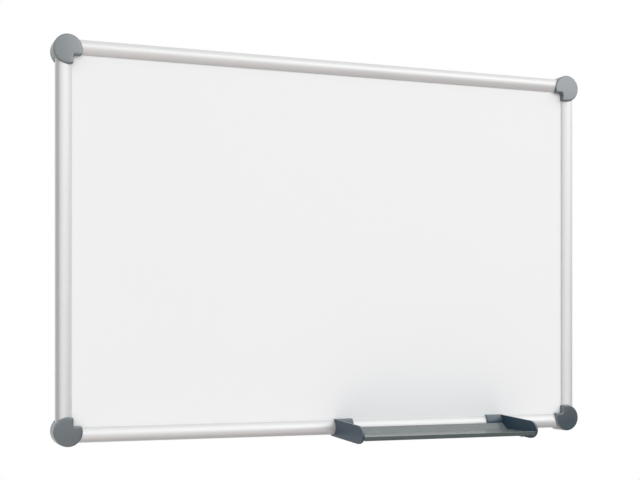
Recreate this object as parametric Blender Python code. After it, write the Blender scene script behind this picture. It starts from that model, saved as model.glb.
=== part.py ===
"""Magnetic whiteboard for a wall: a lacquered steel panel in a frame of half-round aluminium rails,
round plastic corners with push-on covers, and a pen tray that slides along the bottom rail.

Metres, +Z up. The wall is the plane Y = 0, the board faces -Y, and the origin is the centre of the
frame's outline on the wall. A level is a distance out from the wall, so a level is at Y = -level.
"""

import math

import bmesh
import bpy
from mathutils import Vector

# Frame outline over the four rails
FRAME_WIDTH = 0.900
FRAME_HEIGHT = 0.600

# Clearances
SEAT_GAP = 0.0003
SLIDE_GAP = 0.0004
CUT_OVERRUN = 0.004
MERGE_DISTANCE = 0.000002
SHARP_ANGLE = 32

# Panel, from its back to its writing face
PANEL_BACK_LEVEL = 0.0078
BACK_SHEET_THICKNESS = 0.0004
CORE_THICKNESS = 0.0090
STEEL_THICKNESS = 0.0005
MARGIN_DEPTH = 0.0002
MARGIN_OVERLAP = 0.0006
PANEL_EDGE_INSET = 0.0110
PANEL_CORNER_GAP = 0.0006

# Rail section, across its width from the outer edge and out from the wall
RAIL_WIDTH = 0.0235
RAIL_BACK_LEVEL = 0.0030
RAIL_SIDE_LEVEL = 0.0145
RAIL_CROWN_LEVEL = 0.0248
RAIL_CROWN_INSET = 0.0112
RAIL_BACK_INSET = 0.0025
RAIL_WALL = 0.0014
RAIL_LIP_THICKNESS = 0.0012
RAIL_REAR_LIP_INSET = 0.0185
RAIL_ARC_STEPS = 9
RAIL_BACK_ARC_STEPS = 4

# Round corner: cover and the base it is pushed onto
DRUM_RADIUS = 0.0220
DRUM_OVERHANG = 0.0048
DRUM_DRAFT = 0.0006
DRUM_FRONT_LEVEL = 0.0268
DRUM_STEPS = 40
COVER_WALL = 0.0015
COVER_EDGE_RADIUS = 0.0013
COVER_EDGE_STEPS = 3
COVER_DOME_RISE = 0.0004
COVER_DOME_SHARES = (1.0, 0.5, 0.0)
NOTCH_CORNER_RADIUS = 0.0030
NOTCH_CORNER_STEPS = 5
FOOT_THICKNESS = 0.0027
BASE_WALL = 0.0017
BASE_RUNNING_GAP = 0.0008
BASE_STEPS = 22

# Push-on pins of the cover
PIN_RADIUS = 0.0012
PIN_LENGTH = 0.0140
PIN_SIDES = 10
PIN_BOSS_RADIUS = 0.0024
PIN_RIM_GAP = 0.0016
PIN_CORNER_GAP = 0.0004

# Eccentric wall bush
BUSH_RADIUS = 0.0066
BUSH_HEX_RADIUS = 0.0084
BUSH_HEX_HEIGHT = 0.0024
BUSH_HOLE_RADIUS = 0.0032
BUSH_HOLE_OFFSET = 0.0021
BUSH_SEAT_LEVEL = 0.0082
BUSH_BACK_LEVEL = 0.0008
BUSH_SEAT_WALL = 0.0022
BUSH_STEPS = 20
HEX_SIDES = 6

# Spigots of the corner base inside the rails
SPIGOT_END_MARGIN = 0.0060
SPIGOT_CHAMFER = 0.0012
SPIGOT_OUTER_GAP = 0.0017
SPIGOT_BACK_GAP = 0.0006
SPIGOT_HEIGHT = 0.0128
SPIGOT_ROOT = 0.0030

# Screws
FRAME_SCREW_RADIUS = 0.0014
FRAME_SCREW_LENGTH = 0.0095
FRAME_SCREW_HEAD_RADIUS = 0.0028
FRAME_SCREW_HEAD_HEIGHT = 0.0017
FRAME_SCREW_FOOT_GAP = 0.0012
SCREW_TIP_SHARE = 0.35
SCREW_HEAD_EDGE_SHARE = 0.72
SCREW_SIDES = 10

# Pen tray, with depths out from the wall and heights up from the frame's lower edge
TRAY_WIDTH = 0.3085
TRAY_RIGHT_MARGIN = 0.1430
CHEEK_THICKNESS = 0.0030
CLIP_WIDTH = 0.0310
CLIP_THICKNESS = 0.0024
CLIP_HOOK_SHARE = 0.62
CHEEK_FRONT_LEVEL = 0.1220
CHEEK_NOSE_DEPTH = 0.0185
CHEEK_NOSE_HEIGHT = 0.0080
CHEEK_SHOULDER_HEIGHT = 0.0218
CHEEK_NOSE_DROP = 0.0062
CHEEK_NOSE_STEPS = 9

# Shelf section of the tray
SHELF_REAR_HEIGHT = 0.0124
SHELF_REAR_SLOPE = 0.0140
SHELF_FLOOR_HEIGHT = 0.0036
SHELF_THICKNESS = 0.0018
SHELF_LIP_TOP_HEIGHT = 0.0060
SHELF_LIP_BOTTOM_HEIGHT = -0.0005
SHELF_LIP_SETBACK = 0.0012
SHELF_LIP_WIDTH = 0.0030
SHELF_LIP_SLOPE = 0.0060
SHELF_RIB_WIDTH = 0.0046
SHELF_RIB_DEPTH = 0.0036
SHELF_RIB_SHARES = (0.24, 0.70)
LEDGE_WIDTH = 0.0110
LEDGE_THICKNESS = 0.0020
LEDGE_MARGIN = 0.0050
TRAY_SCREW_RADIUS = 0.0011
TRAY_SCREW_LENGTH = 0.0046
TRAY_SCREW_HEAD_RADIUS = 0.0024
TRAY_SCREW_HEAD_HEIGHT = 0.0013

# Sizes that follow from the ones above
CORE_BACK_LEVEL = PANEL_BACK_LEVEL + BACK_SHEET_THICKNESS + SEAT_GAP
STEEL_BACK_LEVEL = CORE_BACK_LEVEL + CORE_THICKNESS + SEAT_GAP
PANEL_FRONT_LEVEL = STEEL_BACK_LEVEL + STEEL_THICKNESS
MARGIN_LEVEL = PANEL_FRONT_LEVEL - MARGIN_DEPTH
RAIL_TIP_LEVEL = MARGIN_LEVEL + SEAT_GAP + RAIL_LIP_THICKNESS
GROOVE_INSET = PANEL_EDGE_INSET - SEAT_GAP
CHAMBER_INSET = GROOVE_INSET - RAIL_WALL
RAIL_END_INSET = RAIL_WIDTH + SEAT_GAP
NOTCH_INSET = RAIL_END_INSET + COVER_WALL
FACE_INSET = NOTCH_INSET + MARGIN_OVERLAP
FACE_CORNER_RADIUS = NOTCH_CORNER_RADIUS - MARGIN_OVERLAP
CLIP_HOOK_INSET = FACE_INSET - SLIDE_GAP
BASE_LIMIT = RAIL_END_INSET - SEAT_GAP
CORNER_INSET = DRUM_RADIUS - DRUM_OVERHANG
COVER_BACK_LEVEL = FOOT_THICKNESS + SEAT_GAP
COVER_INSIDE_LEVEL = DRUM_FRONT_LEVEL - COVER_WALL
COVER_INSIDE_RADIUS = DRUM_RADIUS - COVER_WALL
BASE_RIM_LEVEL = COVER_INSIDE_LEVEL - SEAT_GAP
BASE_RADIUS = COVER_INSIDE_RADIUS - BASE_RUNNING_GAP
PIN_SIDE_REACH = BASE_RADIUS - PIN_BOSS_RADIUS - PIN_RIM_GAP
PIN_CORNER_SHIFT = BASE_LIMIT - CORNER_INSET - PIN_BOSS_RADIUS - PIN_CORNER_GAP
SPIGOT_BACK_LEVEL = RAIL_BACK_LEVEL + RAIL_WALL + SPIGOT_BACK_GAP
FRAME_SCREW_ACROSS = (RAIL_BACK_INSET + CHAMBER_INSET) / 2
TRAY_CENTRE_X = FRAME_WIDTH / 2 - TRAY_RIGHT_MARGIN - TRAY_WIDTH / 2

# Places of the four corners: signs of X and Z, and the turn about Y that brings the piece there
CORNERS = {
    "top_left": (-1, 1, 90),
    "top_right": (1, 1, 180),
    "bottom_left": (-1, -1, 0),
    "bottom_right": (1, -1, -90),
}

# Finishes: colour, roughness, metallic
LACQUER = ("white_lacquer", (0.86, 0.87, 0.88), 0.28, 0.0)
HONEYCOMB_BOARD = ("honeycomb_board", (0.42, 0.31, 0.20), 0.85, 0.0)
ZINC_SHEET = ("zinc_coated_sheet", (0.55, 0.57, 0.58), 0.45, 1.0)
ALUMINIUM = ("anodised_aluminium", (0.74, 0.73, 0.72), 0.36, 0.9)
CORNER_PLASTIC = ("blue_grey_plastic", (0.16, 0.20, 0.22), 0.45, 0.0)
TRAY_PLASTIC = ("slate_plastic", (0.12, 0.16, 0.18), 0.48, 0.0)
SHELF_PLASTIC = ("grey_green_plastic", (0.30, 0.35, 0.35), 0.5, 0.0)
BUSH_PLASTIC = ("white_nylon", (0.72, 0.72, 0.68), 0.5, 0.0)
SCREW_STEEL = ("zinc_plated_steel", (0.60, 0.61, 0.63), 0.3, 1.0)


def clear_scene():
    for item in list(bpy.data.objects):
        bpy.data.objects.remove(item, do_unlink=True)


def finish_material(finish):
    """The Principled material of a finish, made once and shared."""
    name, colour, roughness, metallic = finish
    material = bpy.data.materials.get(name) or bpy.data.materials.new(name)
    material.use_nodes = True
    shader = material.node_tree.nodes["Principled BSDF"]
    shader.inputs["Base Color"].default_value = (*colour, 1.0)
    shader.inputs["Roughness"].default_value = roughness
    shader.inputs["Metallic"].default_value = metallic
    return material


def ellipse_arc(centre, radii, start, end, steps):
    """Points along an elliptic arc between two angles in degrees."""
    points = []
    for step in range(steps + 1):
        angle = math.radians(start + (end - start) * step / steps)
        across = centre[0] + radii[0] * math.cos(angle)
        up = centre[1] + radii[1] * math.sin(angle)
        points.append((across, up))
    return points


def circle(centre, radius, sides):
    return ellipse_arc(centre, (radius, radius), 0, 360, sides)[:-1]


def rectangle(left, right, low, high):
    return [(left, low), (right, low), (right, high), (left, high)]


def facing_wall(across, up, level):
    """A point of an outline drawn on the wall, at a level out from it."""
    return Vector((across, -level, up))


def along_x(level, up, along):
    """A point of a section drawn as level and height, swept along X."""
    return Vector((along, -level, up))


def along_z(level, across, along):
    """A point of a section drawn as level and distance across, swept along Z."""
    return Vector((across, -level, along))


def upward(across, depth, height):
    """A point of an outline drawn flat, as X and Y, at a height."""
    return Vector((across, depth, height))


def closed_mesh(name, shape):
    """Turns a bmesh into a mesh with its faces pointing out."""
    bmesh.ops.remove_doubles(shape, verts=shape.verts[:], dist=MERGE_DISTANCE)
    bmesh.ops.recalc_face_normals(shape, faces=shape.faces[:])
    mesh = bpy.data.meshes.new(name)
    shape.to_mesh(mesh)
    shape.free()
    return mesh


def smooth(mesh):
    """Shades the round faces smooth and keeps the edges sharp."""
    mesh.shade_smooth()
    mesh.set_sharp_from_angle(angle=math.radians(SHARP_ANGLE))
    return mesh


def prism(name, loops, place, start, end):
    """A body swept straight between two places; the first loop is its outline and the rest are holes."""
    shape = bmesh.new()
    for loop in loops:
        corners = [shape.verts.new(place(a, b, start)) for a, b in loop]
        for first, second in zip(corners, corners[1:] + corners[:1]):
            shape.edges.new((first, second))
    bmesh.ops.triangle_fill(shape, edges=shape.edges[:], use_beauty=True)
    swept = bmesh.ops.extrude_face_region(shape, geom=shape.faces[:])["geom"]
    moved = [item for item in swept if isinstance(item, bmesh.types.BMVert)]
    travel = place(0, 0, end) - place(0, 0, start)
    bmesh.ops.translate(shape, verts=moved, vec=travel)
    return closed_mesh(name, shape)


def turned(name, profile, steps):
    """A body turned about Y from a profile of radius and level that starts and ends on the axis."""
    shape = bmesh.new()
    corners = [shape.verts.new((radius, -level, 0)) for radius, level in profile]
    edges = [shape.edges.new(pair) for pair in zip(corners, corners[1:])]
    bmesh.ops.spin(
        shape,
        geom=corners + edges,
        cent=(0, 0, 0),
        axis=(0, 1, 0),
        angle=math.tau,
        steps=steps,
        use_merge=True,
    )
    return closed_mesh(name, shape)


def is_closed(mesh):
    shape = bmesh.new()
    shape.from_mesh(mesh)
    closed = all(len(edge.link_faces) == 2 for edge in shape.edges)
    shape.free()
    return closed


def boolean_result(body, others, operation, solver):
    """The body mesh after one Boolean modifier for each of the other meshes."""
    target = bpy.data.objects.new(body.name, body)
    bpy.context.scene.collection.objects.link(target)
    tools = []
    for other in others:
        tool = bpy.data.objects.new(other.name, other)
        bpy.context.scene.collection.objects.link(tool)
        modifier = target.modifiers.new(other.name, "BOOLEAN")
        modifier.operation = operation
        modifier.solver = solver
        modifier.object = tool
        tools.append(tool)
    bpy.context.view_layer.update()
    evaluated = target.evaluated_get(bpy.context.evaluated_depsgraph_get())
    result = bpy.data.meshes.new_from_object(evaluated)
    for item in tools + [target]:
        bpy.data.objects.remove(item, do_unlink=True)
    return result


def combined(body, others, operation):
    """The body after adding or cutting the others; a second solver redoes what the first leaves open."""
    result = boolean_result(body, others, operation, "EXACT")
    if is_closed(result):
        return result
    return boolean_result(body, others, operation, "MANIFOLD")


def add_piece(name, mesh, finish, location=(0, 0, 0), turn=0):
    """One named piece, placed by its location and its turn about Y in degrees."""
    piece = bpy.data.objects.new(name, mesh)
    bpy.context.scene.collection.objects.link(piece)
    piece.location = location
    piece.rotation_euler = (0, math.radians(turn), 0)
    if not mesh.materials:
        mesh.materials.append(finish_material(finish))
    return piece


def rail_front_curve(growth=0.0, lowest=None):
    """The rail's round front as inset and level, from its inner lip over the crown to its outer side."""
    drop = RAIL_CROWN_LEVEL - RAIL_TIP_LEVEL
    reach = RAIL_WIDTH - RAIL_CROWN_INSET
    radius = (reach**2 + drop**2) / (2 * drop)
    centre = (RAIL_CROWN_INSET, RAIL_CROWN_LEVEL - radius)
    grown = radius + growth
    if lowest is None:
        start = math.acos(reach / radius)
    else:
        start = math.asin((lowest - centre[1]) / grown)
    curve = ellipse_arc(centre, (grown, grown), math.degrees(start), 90, RAIL_ARC_STEPS)
    side_centre = (RAIL_CROWN_INSET, RAIL_SIDE_LEVEL)
    side_radii = (
        RAIL_CROWN_INSET + growth,
        RAIL_CROWN_LEVEL - RAIL_SIDE_LEVEL + growth,
    )
    return curve + ellipse_arc(side_centre, side_radii, 90, 180, RAIL_ARC_STEPS)[1:]


def rail_back_curve(growth=0.0):
    """The rail's round outer back edge, from its outer side to its flat back."""
    centre = (RAIL_BACK_INSET, RAIL_SIDE_LEVEL)
    radii = (RAIL_BACK_INSET + growth, RAIL_SIDE_LEVEL - RAIL_BACK_LEVEL + growth)
    return ellipse_arc(centre, radii, 180, 270, RAIL_BACK_ARC_STEPS)


def rail_outline():
    groove_front = MARGIN_LEVEL + SEAT_GAP
    groove_back = PANEL_BACK_LEVEL - SEAT_GAP
    groove = [
        (CHAMBER_INSET + RAIL_WALL, RAIL_BACK_LEVEL),
        (CHAMBER_INSET + RAIL_WALL, groove_back - RAIL_WALL),
        (RAIL_REAR_LIP_INSET, groove_back - RAIL_WALL),
        (RAIL_REAR_LIP_INSET, groove_back),
        (GROOVE_INSET, groove_back),
        (GROOVE_INSET, groove_front),
        (RAIL_WIDTH, groove_front),
    ]
    return rail_front_curve() + rail_back_curve()[1:] + groove


def rail_chamber():
    """The hollow of the rail, one wall in from its outside."""
    ceiling = MARGIN_LEVEL + SEAT_GAP + RAIL_WALL
    floor = RAIL_BACK_LEVEL + RAIL_WALL
    front = rail_front_curve(-RAIL_WALL, ceiling)
    inner = [(CHAMBER_INSET, floor), (CHAMBER_INSET, ceiling)]
    return front + rail_back_curve(-RAIL_WALL)[1:] + inner


def rail_mesh(name, length):
    """A rail along X, with its outer edge on Z = 0, its hollow, its panel groove and two screw holes."""
    half = length / 2

    def placed(inset, level, along):
        return along_x(level, inset, along)

    body = prism(name, [rail_outline(), rail_chamber()], placed, -half, half)
    hole_place = half + RAIL_END_INSET - frame_screw_inset()
    hole_radius = FRAME_SCREW_RADIUS + SLIDE_GAP
    holes = []
    for side in (-1, 1):
        outline = circle((side * hole_place, FRAME_SCREW_ACROSS), hole_radius, SCREW_SIDES)
        top = RAIL_BACK_LEVEL + RAIL_WALL + SPIGOT_BACK_GAP
        holes.append(prism("screw_hole", [outline], facing_wall, RAIL_BACK_LEVEL - CUT_OVERRUN, top))
    return smooth(combined(body, holes, "DIFFERENCE"))


def add_rails():
    across = rail_mesh("rail_across", FRAME_WIDTH - 2 * RAIL_END_INSET)
    upright = rail_mesh("rail_upright", FRAME_HEIGHT - 2 * RAIL_END_INSET)
    add_piece("rail_bottom", across, ALUMINIUM, (0, 0, -FRAME_HEIGHT / 2), 0)
    add_piece("rail_top", across, ALUMINIUM, (0, 0, FRAME_HEIGHT / 2), 180)
    add_piece("rail_left", upright, ALUMINIUM, (-FRAME_WIDTH / 2, 0, 0), 90)
    add_piece("rail_right", upright, ALUMINIUM, (FRAME_WIDTH / 2, 0, 0), -90)


def four_corners(quarter):
    """A closed outline from the part of it in the +X +Z quarter, given from +X round to +Z."""
    points = []
    for side_x, side_z in ((1, 1), (-1, 1), (-1, -1), (1, -1)):
        corner = [(side_x * x, side_z * z) for x, z in quarter]
        points += corner if side_x * side_z > 0 else corner[::-1]
    return points


def panel_outline():
    """The panel's rectangle, its corners cut off at a slant to clear the corner bases."""
    edge = (FRAME_WIDTH / 2 - PANEL_EDGE_INSET, FRAME_HEIGHT / 2 - PANEL_EDGE_INSET)
    cut = 2 * (BASE_LIMIT - PANEL_EDGE_INSET) + math.sqrt(2) * PANEL_CORNER_GAP
    return four_corners([(edge[0], edge[1] - cut), (edge[0] - cut, edge[1])])


def face_outline():
    """The writing face between the rails and corners, with round corners."""
    centre = (
        FRAME_WIDTH / 2 - FACE_INSET - FACE_CORNER_RADIUS,
        FRAME_HEIGHT / 2 - FACE_INSET - FACE_CORNER_RADIUS,
    )
    radii = (FACE_CORNER_RADIUS, FACE_CORNER_RADIUS)
    return four_corners(ellipse_arc(centre, radii, 0, 90, NOTCH_CORNER_STEPS))


def writing_sheet():
    """The steel sheet, pressed down a little along its margin where the frame grips it."""
    sheet = prism("writing_surface", [panel_outline()], facing_wall, STEEL_BACK_LEVEL, MARGIN_LEVEL)
    middle = (STEEL_BACK_LEVEL + MARGIN_LEVEL) / 2
    face = prism("face", [face_outline()], facing_wall, middle, PANEL_FRONT_LEVEL)
    return combined(sheet, [face], "UNION")


def add_panel():
    outline = [panel_outline()]
    back_front = PANEL_BACK_LEVEL + BACK_SHEET_THICKNESS
    core_front = CORE_BACK_LEVEL + CORE_THICKNESS
    back = prism("back_sheet", outline, facing_wall, PANEL_BACK_LEVEL, back_front)
    core = prism("panel_core", outline, facing_wall, CORE_BACK_LEVEL, core_front)
    add_piece("back_sheet", back, ZINC_SHEET)
    add_piece("panel_core", core, HONEYCOMB_BOARD)
    add_piece("writing_surface", writing_sheet(), LACQUER)


def clipped_disc(radius, limit):
    """A disc cut off square along +X and +Z at the limit."""
    lean = math.degrees(math.asin(limit / radius))
    arc = ellipse_arc((0, 0), (radius, radius), 180 - lean, 270 + lean, BASE_STEPS)
    return arc + [(limit, limit)]


def notched_disc(radius, edge, corner_radius):
    """A disc without its +X +Z quarter beyond the edge, with a round inner corner."""
    lean = math.degrees(math.asin(edge / radius))
    rim = ellipse_arc((0, 0), (radius, radius), 90 - lean, 360 + lean, DRUM_STEPS)
    return rim + notch_corner(edge, corner_radius)


def notch_corner(edge, corner_radius):
    centre = (edge + corner_radius, edge + corner_radius)
    return ellipse_arc(centre, (corner_radius, corner_radius), 270, 180, NOTCH_CORNER_STEPS)


def pin_places():
    """Centres of the three cover pins about the drum's centre."""
    return (
        (PIN_CORNER_SHIFT, -PIN_SIDE_REACH),
        (-PIN_SIDE_REACH, PIN_CORNER_SHIFT),
        (PIN_CORNER_SHIFT, PIN_CORNER_SHIFT),
    )


def bush_shift():
    """How far the bush stands out from the drum's centre, midway between the inner pin and the rim."""
    pin_side = PIN_BOSS_RADIUS - math.sqrt(2) * PIN_CORNER_SHIFT
    rim_side = BASE_RADIUS - BASE_WALL
    return (pin_side + rim_side) / 2 / math.sqrt(2)


def frame_screw_inset():
    """Distance of a frame screw from the end of the frame, with its head clear of the round foot."""
    reach = DRUM_RADIUS + DRUM_DRAFT + FRAME_SCREW_FOOT_GAP + FRAME_SCREW_HEAD_RADIUS
    return CORNER_INSET + math.sqrt(reach**2 - (CORNER_INSET - FRAME_SCREW_ACROSS) ** 2)


def cover_drum():
    """The solid outside of the cover: drafted side, round edge and slightly domed front."""
    face_radius = DRUM_RADIUS - COVER_EDGE_RADIUS
    edge_level = DRUM_FRONT_LEVEL - COVER_EDGE_RADIUS
    edge_radii = (COVER_EDGE_RADIUS, COVER_EDGE_RADIUS)
    edge = ellipse_arc((face_radius, edge_level), edge_radii, 0, 90, COVER_EDGE_STEPS)
    dome = []
    for share in COVER_DOME_SHARES[1:]:
        rise = COVER_DOME_RISE * (1 - share**2)
        dome.append((face_radius * share, DRUM_FRONT_LEVEL + rise))
    back = [(0, COVER_BACK_LEVEL), (DRUM_RADIUS + DRUM_DRAFT, COVER_BACK_LEVEL)]
    return turned("cover_drum", back + edge + dome, DRUM_STEPS)


def rail_passage(name, place):
    """What the cover leaves open for a rail, straight back from the rail's round front."""
    curve = rail_front_curve(SEAT_GAP)
    sill = COVER_BACK_LEVEL - CUT_OVERRUN
    inner = RAIL_WIDTH + SEAT_GAP
    outline = [(inner, sill), (inner, curve[0][1])] + curve + [(-SEAT_GAP, sill)]
    shifted = [(inset - CORNER_INSET, level) for inset, level in outline]
    return prism(name, [shifted], place, 0, DRUM_RADIUS + CUT_OVERRUN)


def cover_hollow():
    """The inside of the cover, one wall in from the drum and the notch."""
    edge = NOTCH_INSET - CORNER_INSET - COVER_WALL
    return notched_disc(COVER_INSIDE_RADIUS, edge, NOTCH_CORNER_RADIUS + COVER_WALL)


def cover_cutters():
    """The cover's hollow, its notch, and its passages for two rails and the panel."""
    edge = NOTCH_INSET - CORNER_INSET
    far = DRUM_RADIUS + CUT_OVERRUN
    notch = notch_corner(edge, NOTCH_CORNER_RADIUS)[::-1] + [(far, edge), (far, far), (edge, far)]
    back = COVER_BACK_LEVEL - CUT_OVERRUN
    front = DRUM_FRONT_LEVEL + CUT_OVERRUN
    near = BASE_LIMIT - CORNER_INSET
    panel = rectangle(near, far, near, far)
    return [
        prism("hollow", [cover_hollow()], facing_wall, back, COVER_INSIDE_LEVEL),
        prism("notch", [notch], facing_wall, back, front),
        rail_passage("passage_x", lambda inset, level, along: along_x(level, inset, along)),
        rail_passage("passage_z", lambda inset, level, along: along_z(level, inset, along)),
        prism("panel_passage", [panel], facing_wall, back, PANEL_FRONT_LEVEL + SEAT_GAP),
    ]


def cover_mesh():
    """The push-on cover, with its origin at the drum's centre on the wall."""
    shell = combined(cover_drum(), cover_cutters(), "DIFFERENCE")
    pins = []
    for place in pin_places():
        outline = circle(place, PIN_RADIUS, PIN_SIDES)
        root = COVER_INSIDE_LEVEL + COVER_WALL / 2
        pins.append(prism("pin", [outline], facing_wall, COVER_INSIDE_LEVEL - PIN_LENGTH, root))
    return smooth(combined(shell, pins, "UNION"))


def spigot_outline():
    """A spigot along +X seen from the front, with a chamfered tip."""
    root = BASE_LIMIT - CORNER_INSET - SPIGOT_ROOT
    tip = frame_screw_inset() - CORNER_INSET + SPIGOT_END_MARGIN
    low = SPIGOT_OUTER_GAP + RAIL_WALL - CORNER_INSET
    high = CHAMBER_INSET - SLIDE_GAP - CORNER_INSET
    return [
        (root, low),
        (tip - SPIGOT_CHAMFER, low),
        (tip, low + SPIGOT_CHAMFER),
        (tip, high - SPIGOT_CHAMFER),
        (tip - SPIGOT_CHAMFER, high),
        (root, high),
    ]


def base_bodies():
    """What is added to the foot of the corner base: rim, bush seat, pin bosses and spigots."""
    limit = BASE_LIMIT - CORNER_INSET
    rim = [clipped_disc(BASE_RADIUS, limit), clipped_disc(BASE_RADIUS - BASE_WALL, limit - BASE_WALL)]
    bottom = FOOT_THICKNESS / 2
    seat = circle((-bush_shift(), -bush_shift()), BUSH_RADIUS + BUSH_SEAT_WALL, BUSH_STEPS)
    bodies = [
        prism("rim", rim, facing_wall, bottom, BASE_RIM_LEVEL),
        prism("bush_seat", [seat], facing_wall, bottom, BUSH_SEAT_LEVEL),
    ]
    for place in pin_places():
        boss = circle(place, PIN_BOSS_RADIUS, PIN_SIDES)
        bodies.append(prism("pin_boss", [boss], facing_wall, bottom, BASE_RIM_LEVEL))
    spigot = spigot_outline()
    spigot_top = SPIGOT_BACK_LEVEL + SPIGOT_HEIGHT
    for outline in (spigot, [(z, x) for x, z in spigot]):
        bodies.append(prism("spigot", [outline], facing_wall, SPIGOT_BACK_LEVEL, spigot_top))
    return bodies


def base_cutters():
    """The bush bore, the pin sockets and the screw holes of the corner base."""
    bore = circle((-bush_shift(), -bush_shift()), BUSH_RADIUS + SEAT_GAP, BUSH_STEPS)
    cutters = [prism("bush_bore", [bore], facing_wall, -CUT_OVERRUN, BUSH_SEAT_LEVEL + CUT_OVERRUN)]
    front = BASE_RIM_LEVEL + CUT_OVERRUN
    for place in pin_places():
        socket = circle(place, PIN_RADIUS + SEAT_GAP, PIN_SIDES)
        cutters.append(prism("pin_socket", [socket], facing_wall, FOOT_THICKNESS, front))
    along = frame_screw_inset() - CORNER_INSET
    across = FRAME_SCREW_ACROSS - CORNER_INSET
    depth = SPIGOT_BACK_LEVEL + SPIGOT_HEIGHT + CUT_OVERRUN
    for place in ((along, across), (across, along)):
        hole = circle(place, FRAME_SCREW_RADIUS + SEAT_GAP, SCREW_SIDES)
        cutters.append(prism("screw_hole", [hole], facing_wall, 0, depth))
    return cutters


def base_mesh():
    """The corner base, with its origin at the drum's centre on the wall."""
    foot = circle((0, 0), DRUM_RADIUS + DRUM_DRAFT, DRUM_STEPS)
    body = prism("foot", [foot], facing_wall, 0, FOOT_THICKNESS)
    joined = combined(body, base_bodies(), "UNION")
    return smooth(combined(joined, base_cutters(), "DIFFERENCE"))


def bush_mesh():
    """The eccentric bush, turning about its own axis, with its hexagon towards the front."""
    hexagon_back = BUSH_SEAT_LEVEL + SEAT_GAP
    hexagon_front = hexagon_back + BUSH_HEX_HEIGHT
    barrel = circle((0, 0), BUSH_RADIUS, BUSH_STEPS)
    hexagon = circle((0, 0), BUSH_HEX_RADIUS, HEX_SIDES)
    hole = circle((BUSH_HOLE_OFFSET, 0), BUSH_HOLE_RADIUS, BUSH_STEPS)
    overlap = hexagon_back + BUSH_HEX_HEIGHT / 2
    body = prism("barrel", [barrel], facing_wall, BUSH_BACK_LEVEL, overlap)
    head = prism("hexagon", [hexagon], facing_wall, hexagon_back, hexagon_front)
    joined = combined(body, [head], "UNION")
    front = hexagon_front + CUT_OVERRUN
    cutter = prism("hole", [hole], facing_wall, BUSH_BACK_LEVEL - CUT_OVERRUN, front)
    return smooth(combined(joined, [cutter], "DIFFERENCE"))


def screw_mesh(name, radius, length, head_radius, head_height):
    """A pan-head screw that points out from the wall, with its origin under the head."""
    tip = radius * SCREW_TIP_SHARE
    profile = [
        (0, -head_height),
        (head_radius * SCREW_HEAD_EDGE_SHARE, -head_height),
        (head_radius, -head_height * (1 - SCREW_HEAD_EDGE_SHARE)),
        (head_radius, 0),
        (radius, 0),
        (radius, length - radius),
        (tip, length),
        (0, length),
    ]
    return smooth(turned(name, profile, SCREW_SIDES))


def corner_centre(side_x, side_z):
    across = side_x * (FRAME_WIDTH / 2 - CORNER_INSET)
    up = side_z * (FRAME_HEIGHT / 2 - CORNER_INSET)
    return (across, 0, up)


def add_corners():
    cover = cover_mesh()
    base = base_mesh()
    bush = bush_mesh()
    for name, (side_x, side_z, turn) in CORNERS.items():
        centre = corner_centre(side_x, side_z)
        add_piece(f"corner_cover_{name}", cover, CORNER_PLASTIC, centre, turn)
        add_piece(f"corner_base_{name}", base, CORNER_PLASTIC, centre, turn)
        bush_x = centre[0] + side_x * bush_shift()
        bush_z = centre[2] + side_z * bush_shift()
        add_piece(f"wall_bush_{name}", bush, BUSH_PLASTIC, (bush_x, 0, bush_z), turn)


def add_frame_screws():
    """Two screws at each corner, one through the back of each rail into a spigot."""
    screw = screw_mesh(
        "frame_screw",
        FRAME_SCREW_RADIUS,
        FRAME_SCREW_LENGTH,
        FRAME_SCREW_HEAD_RADIUS,
        FRAME_SCREW_HEAD_HEIGHT,
    )
    seat = -(RAIL_BACK_LEVEL - SEAT_GAP)
    inset = frame_screw_inset()
    for name, (side_x, side_z, turn) in CORNERS.items():
        along = (FRAME_WIDTH / 2 - inset, FRAME_HEIGHT / 2 - FRAME_SCREW_ACROSS)
        upright = (FRAME_WIDTH / 2 - FRAME_SCREW_ACROSS, FRAME_HEIGHT / 2 - inset)
        places = {"across": along, "upright": upright}
        for rail, (x, z) in places.items():
            place = (side_x * x, seat, side_z * z)
            add_piece(f"frame_screw_{rail}_{name}", screw, SCREW_STEEL, place, turn)


def clip_curves():
    """The clip's inside and outside, from the hook at the writing face round the rail to its rear hook."""
    inside = (SLIDE_GAP, RAIL_WIDTH + SLIDE_GAP)
    outside = (SLIDE_GAP + CLIP_THICKNESS, CLIP_HOOK_INSET)
    curves = []
    for growth, top in (inside, outside):
        back = rail_back_curve(growth)
        kept = back[: 1 + round(CLIP_HOOK_SHARE * RAIL_BACK_ARC_STEPS)]
        hook_level = PANEL_FRONT_LEVEL + SLIDE_GAP
        front = rail_front_curve(growth)
        hook = [(top, hook_level), (top, front[0][1])]
        curves.append(hook + front[1:] + kept[1:])
    return curves


def clip_outline():
    inside, outside = clip_curves()
    return [(level, inset) for inset, level in outside + inside[::-1]]


def cheek_outline():
    """The cheek's side: round rail seat at the back, sloping top, round shoulder, and a nose that dips."""
    inside, outside = clip_curves()
    seat = [(level, inset) for inset, level in inside[::-1]]
    top_start = (outside[0][1], outside[0][0])
    nose_centre = (CHEEK_FRONT_LEVEL - CHEEK_NOSE_DEPTH, CHEEK_NOSE_HEIGHT)
    shoulder_radii = (CHEEK_NOSE_DEPTH, CHEEK_SHOULDER_HEIGHT - CHEEK_NOSE_HEIGHT)
    nose_radii = (CHEEK_NOSE_DEPTH, CHEEK_NOSE_HEIGHT + CHEEK_NOSE_DROP)
    shoulder = ellipse_arc(nose_centre, shoulder_radii, 90, 0, CHEEK_NOSE_STEPS)
    nose = ellipse_arc(nose_centre, nose_radii, 0, -90, CHEEK_NOSE_STEPS)[1:]
    back_hook = [(level, inset) for inset, level in outside[-RAIL_BACK_ARC_STEPS:]]
    return seat + [top_start] + shoulder + nose + back_hook


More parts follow.
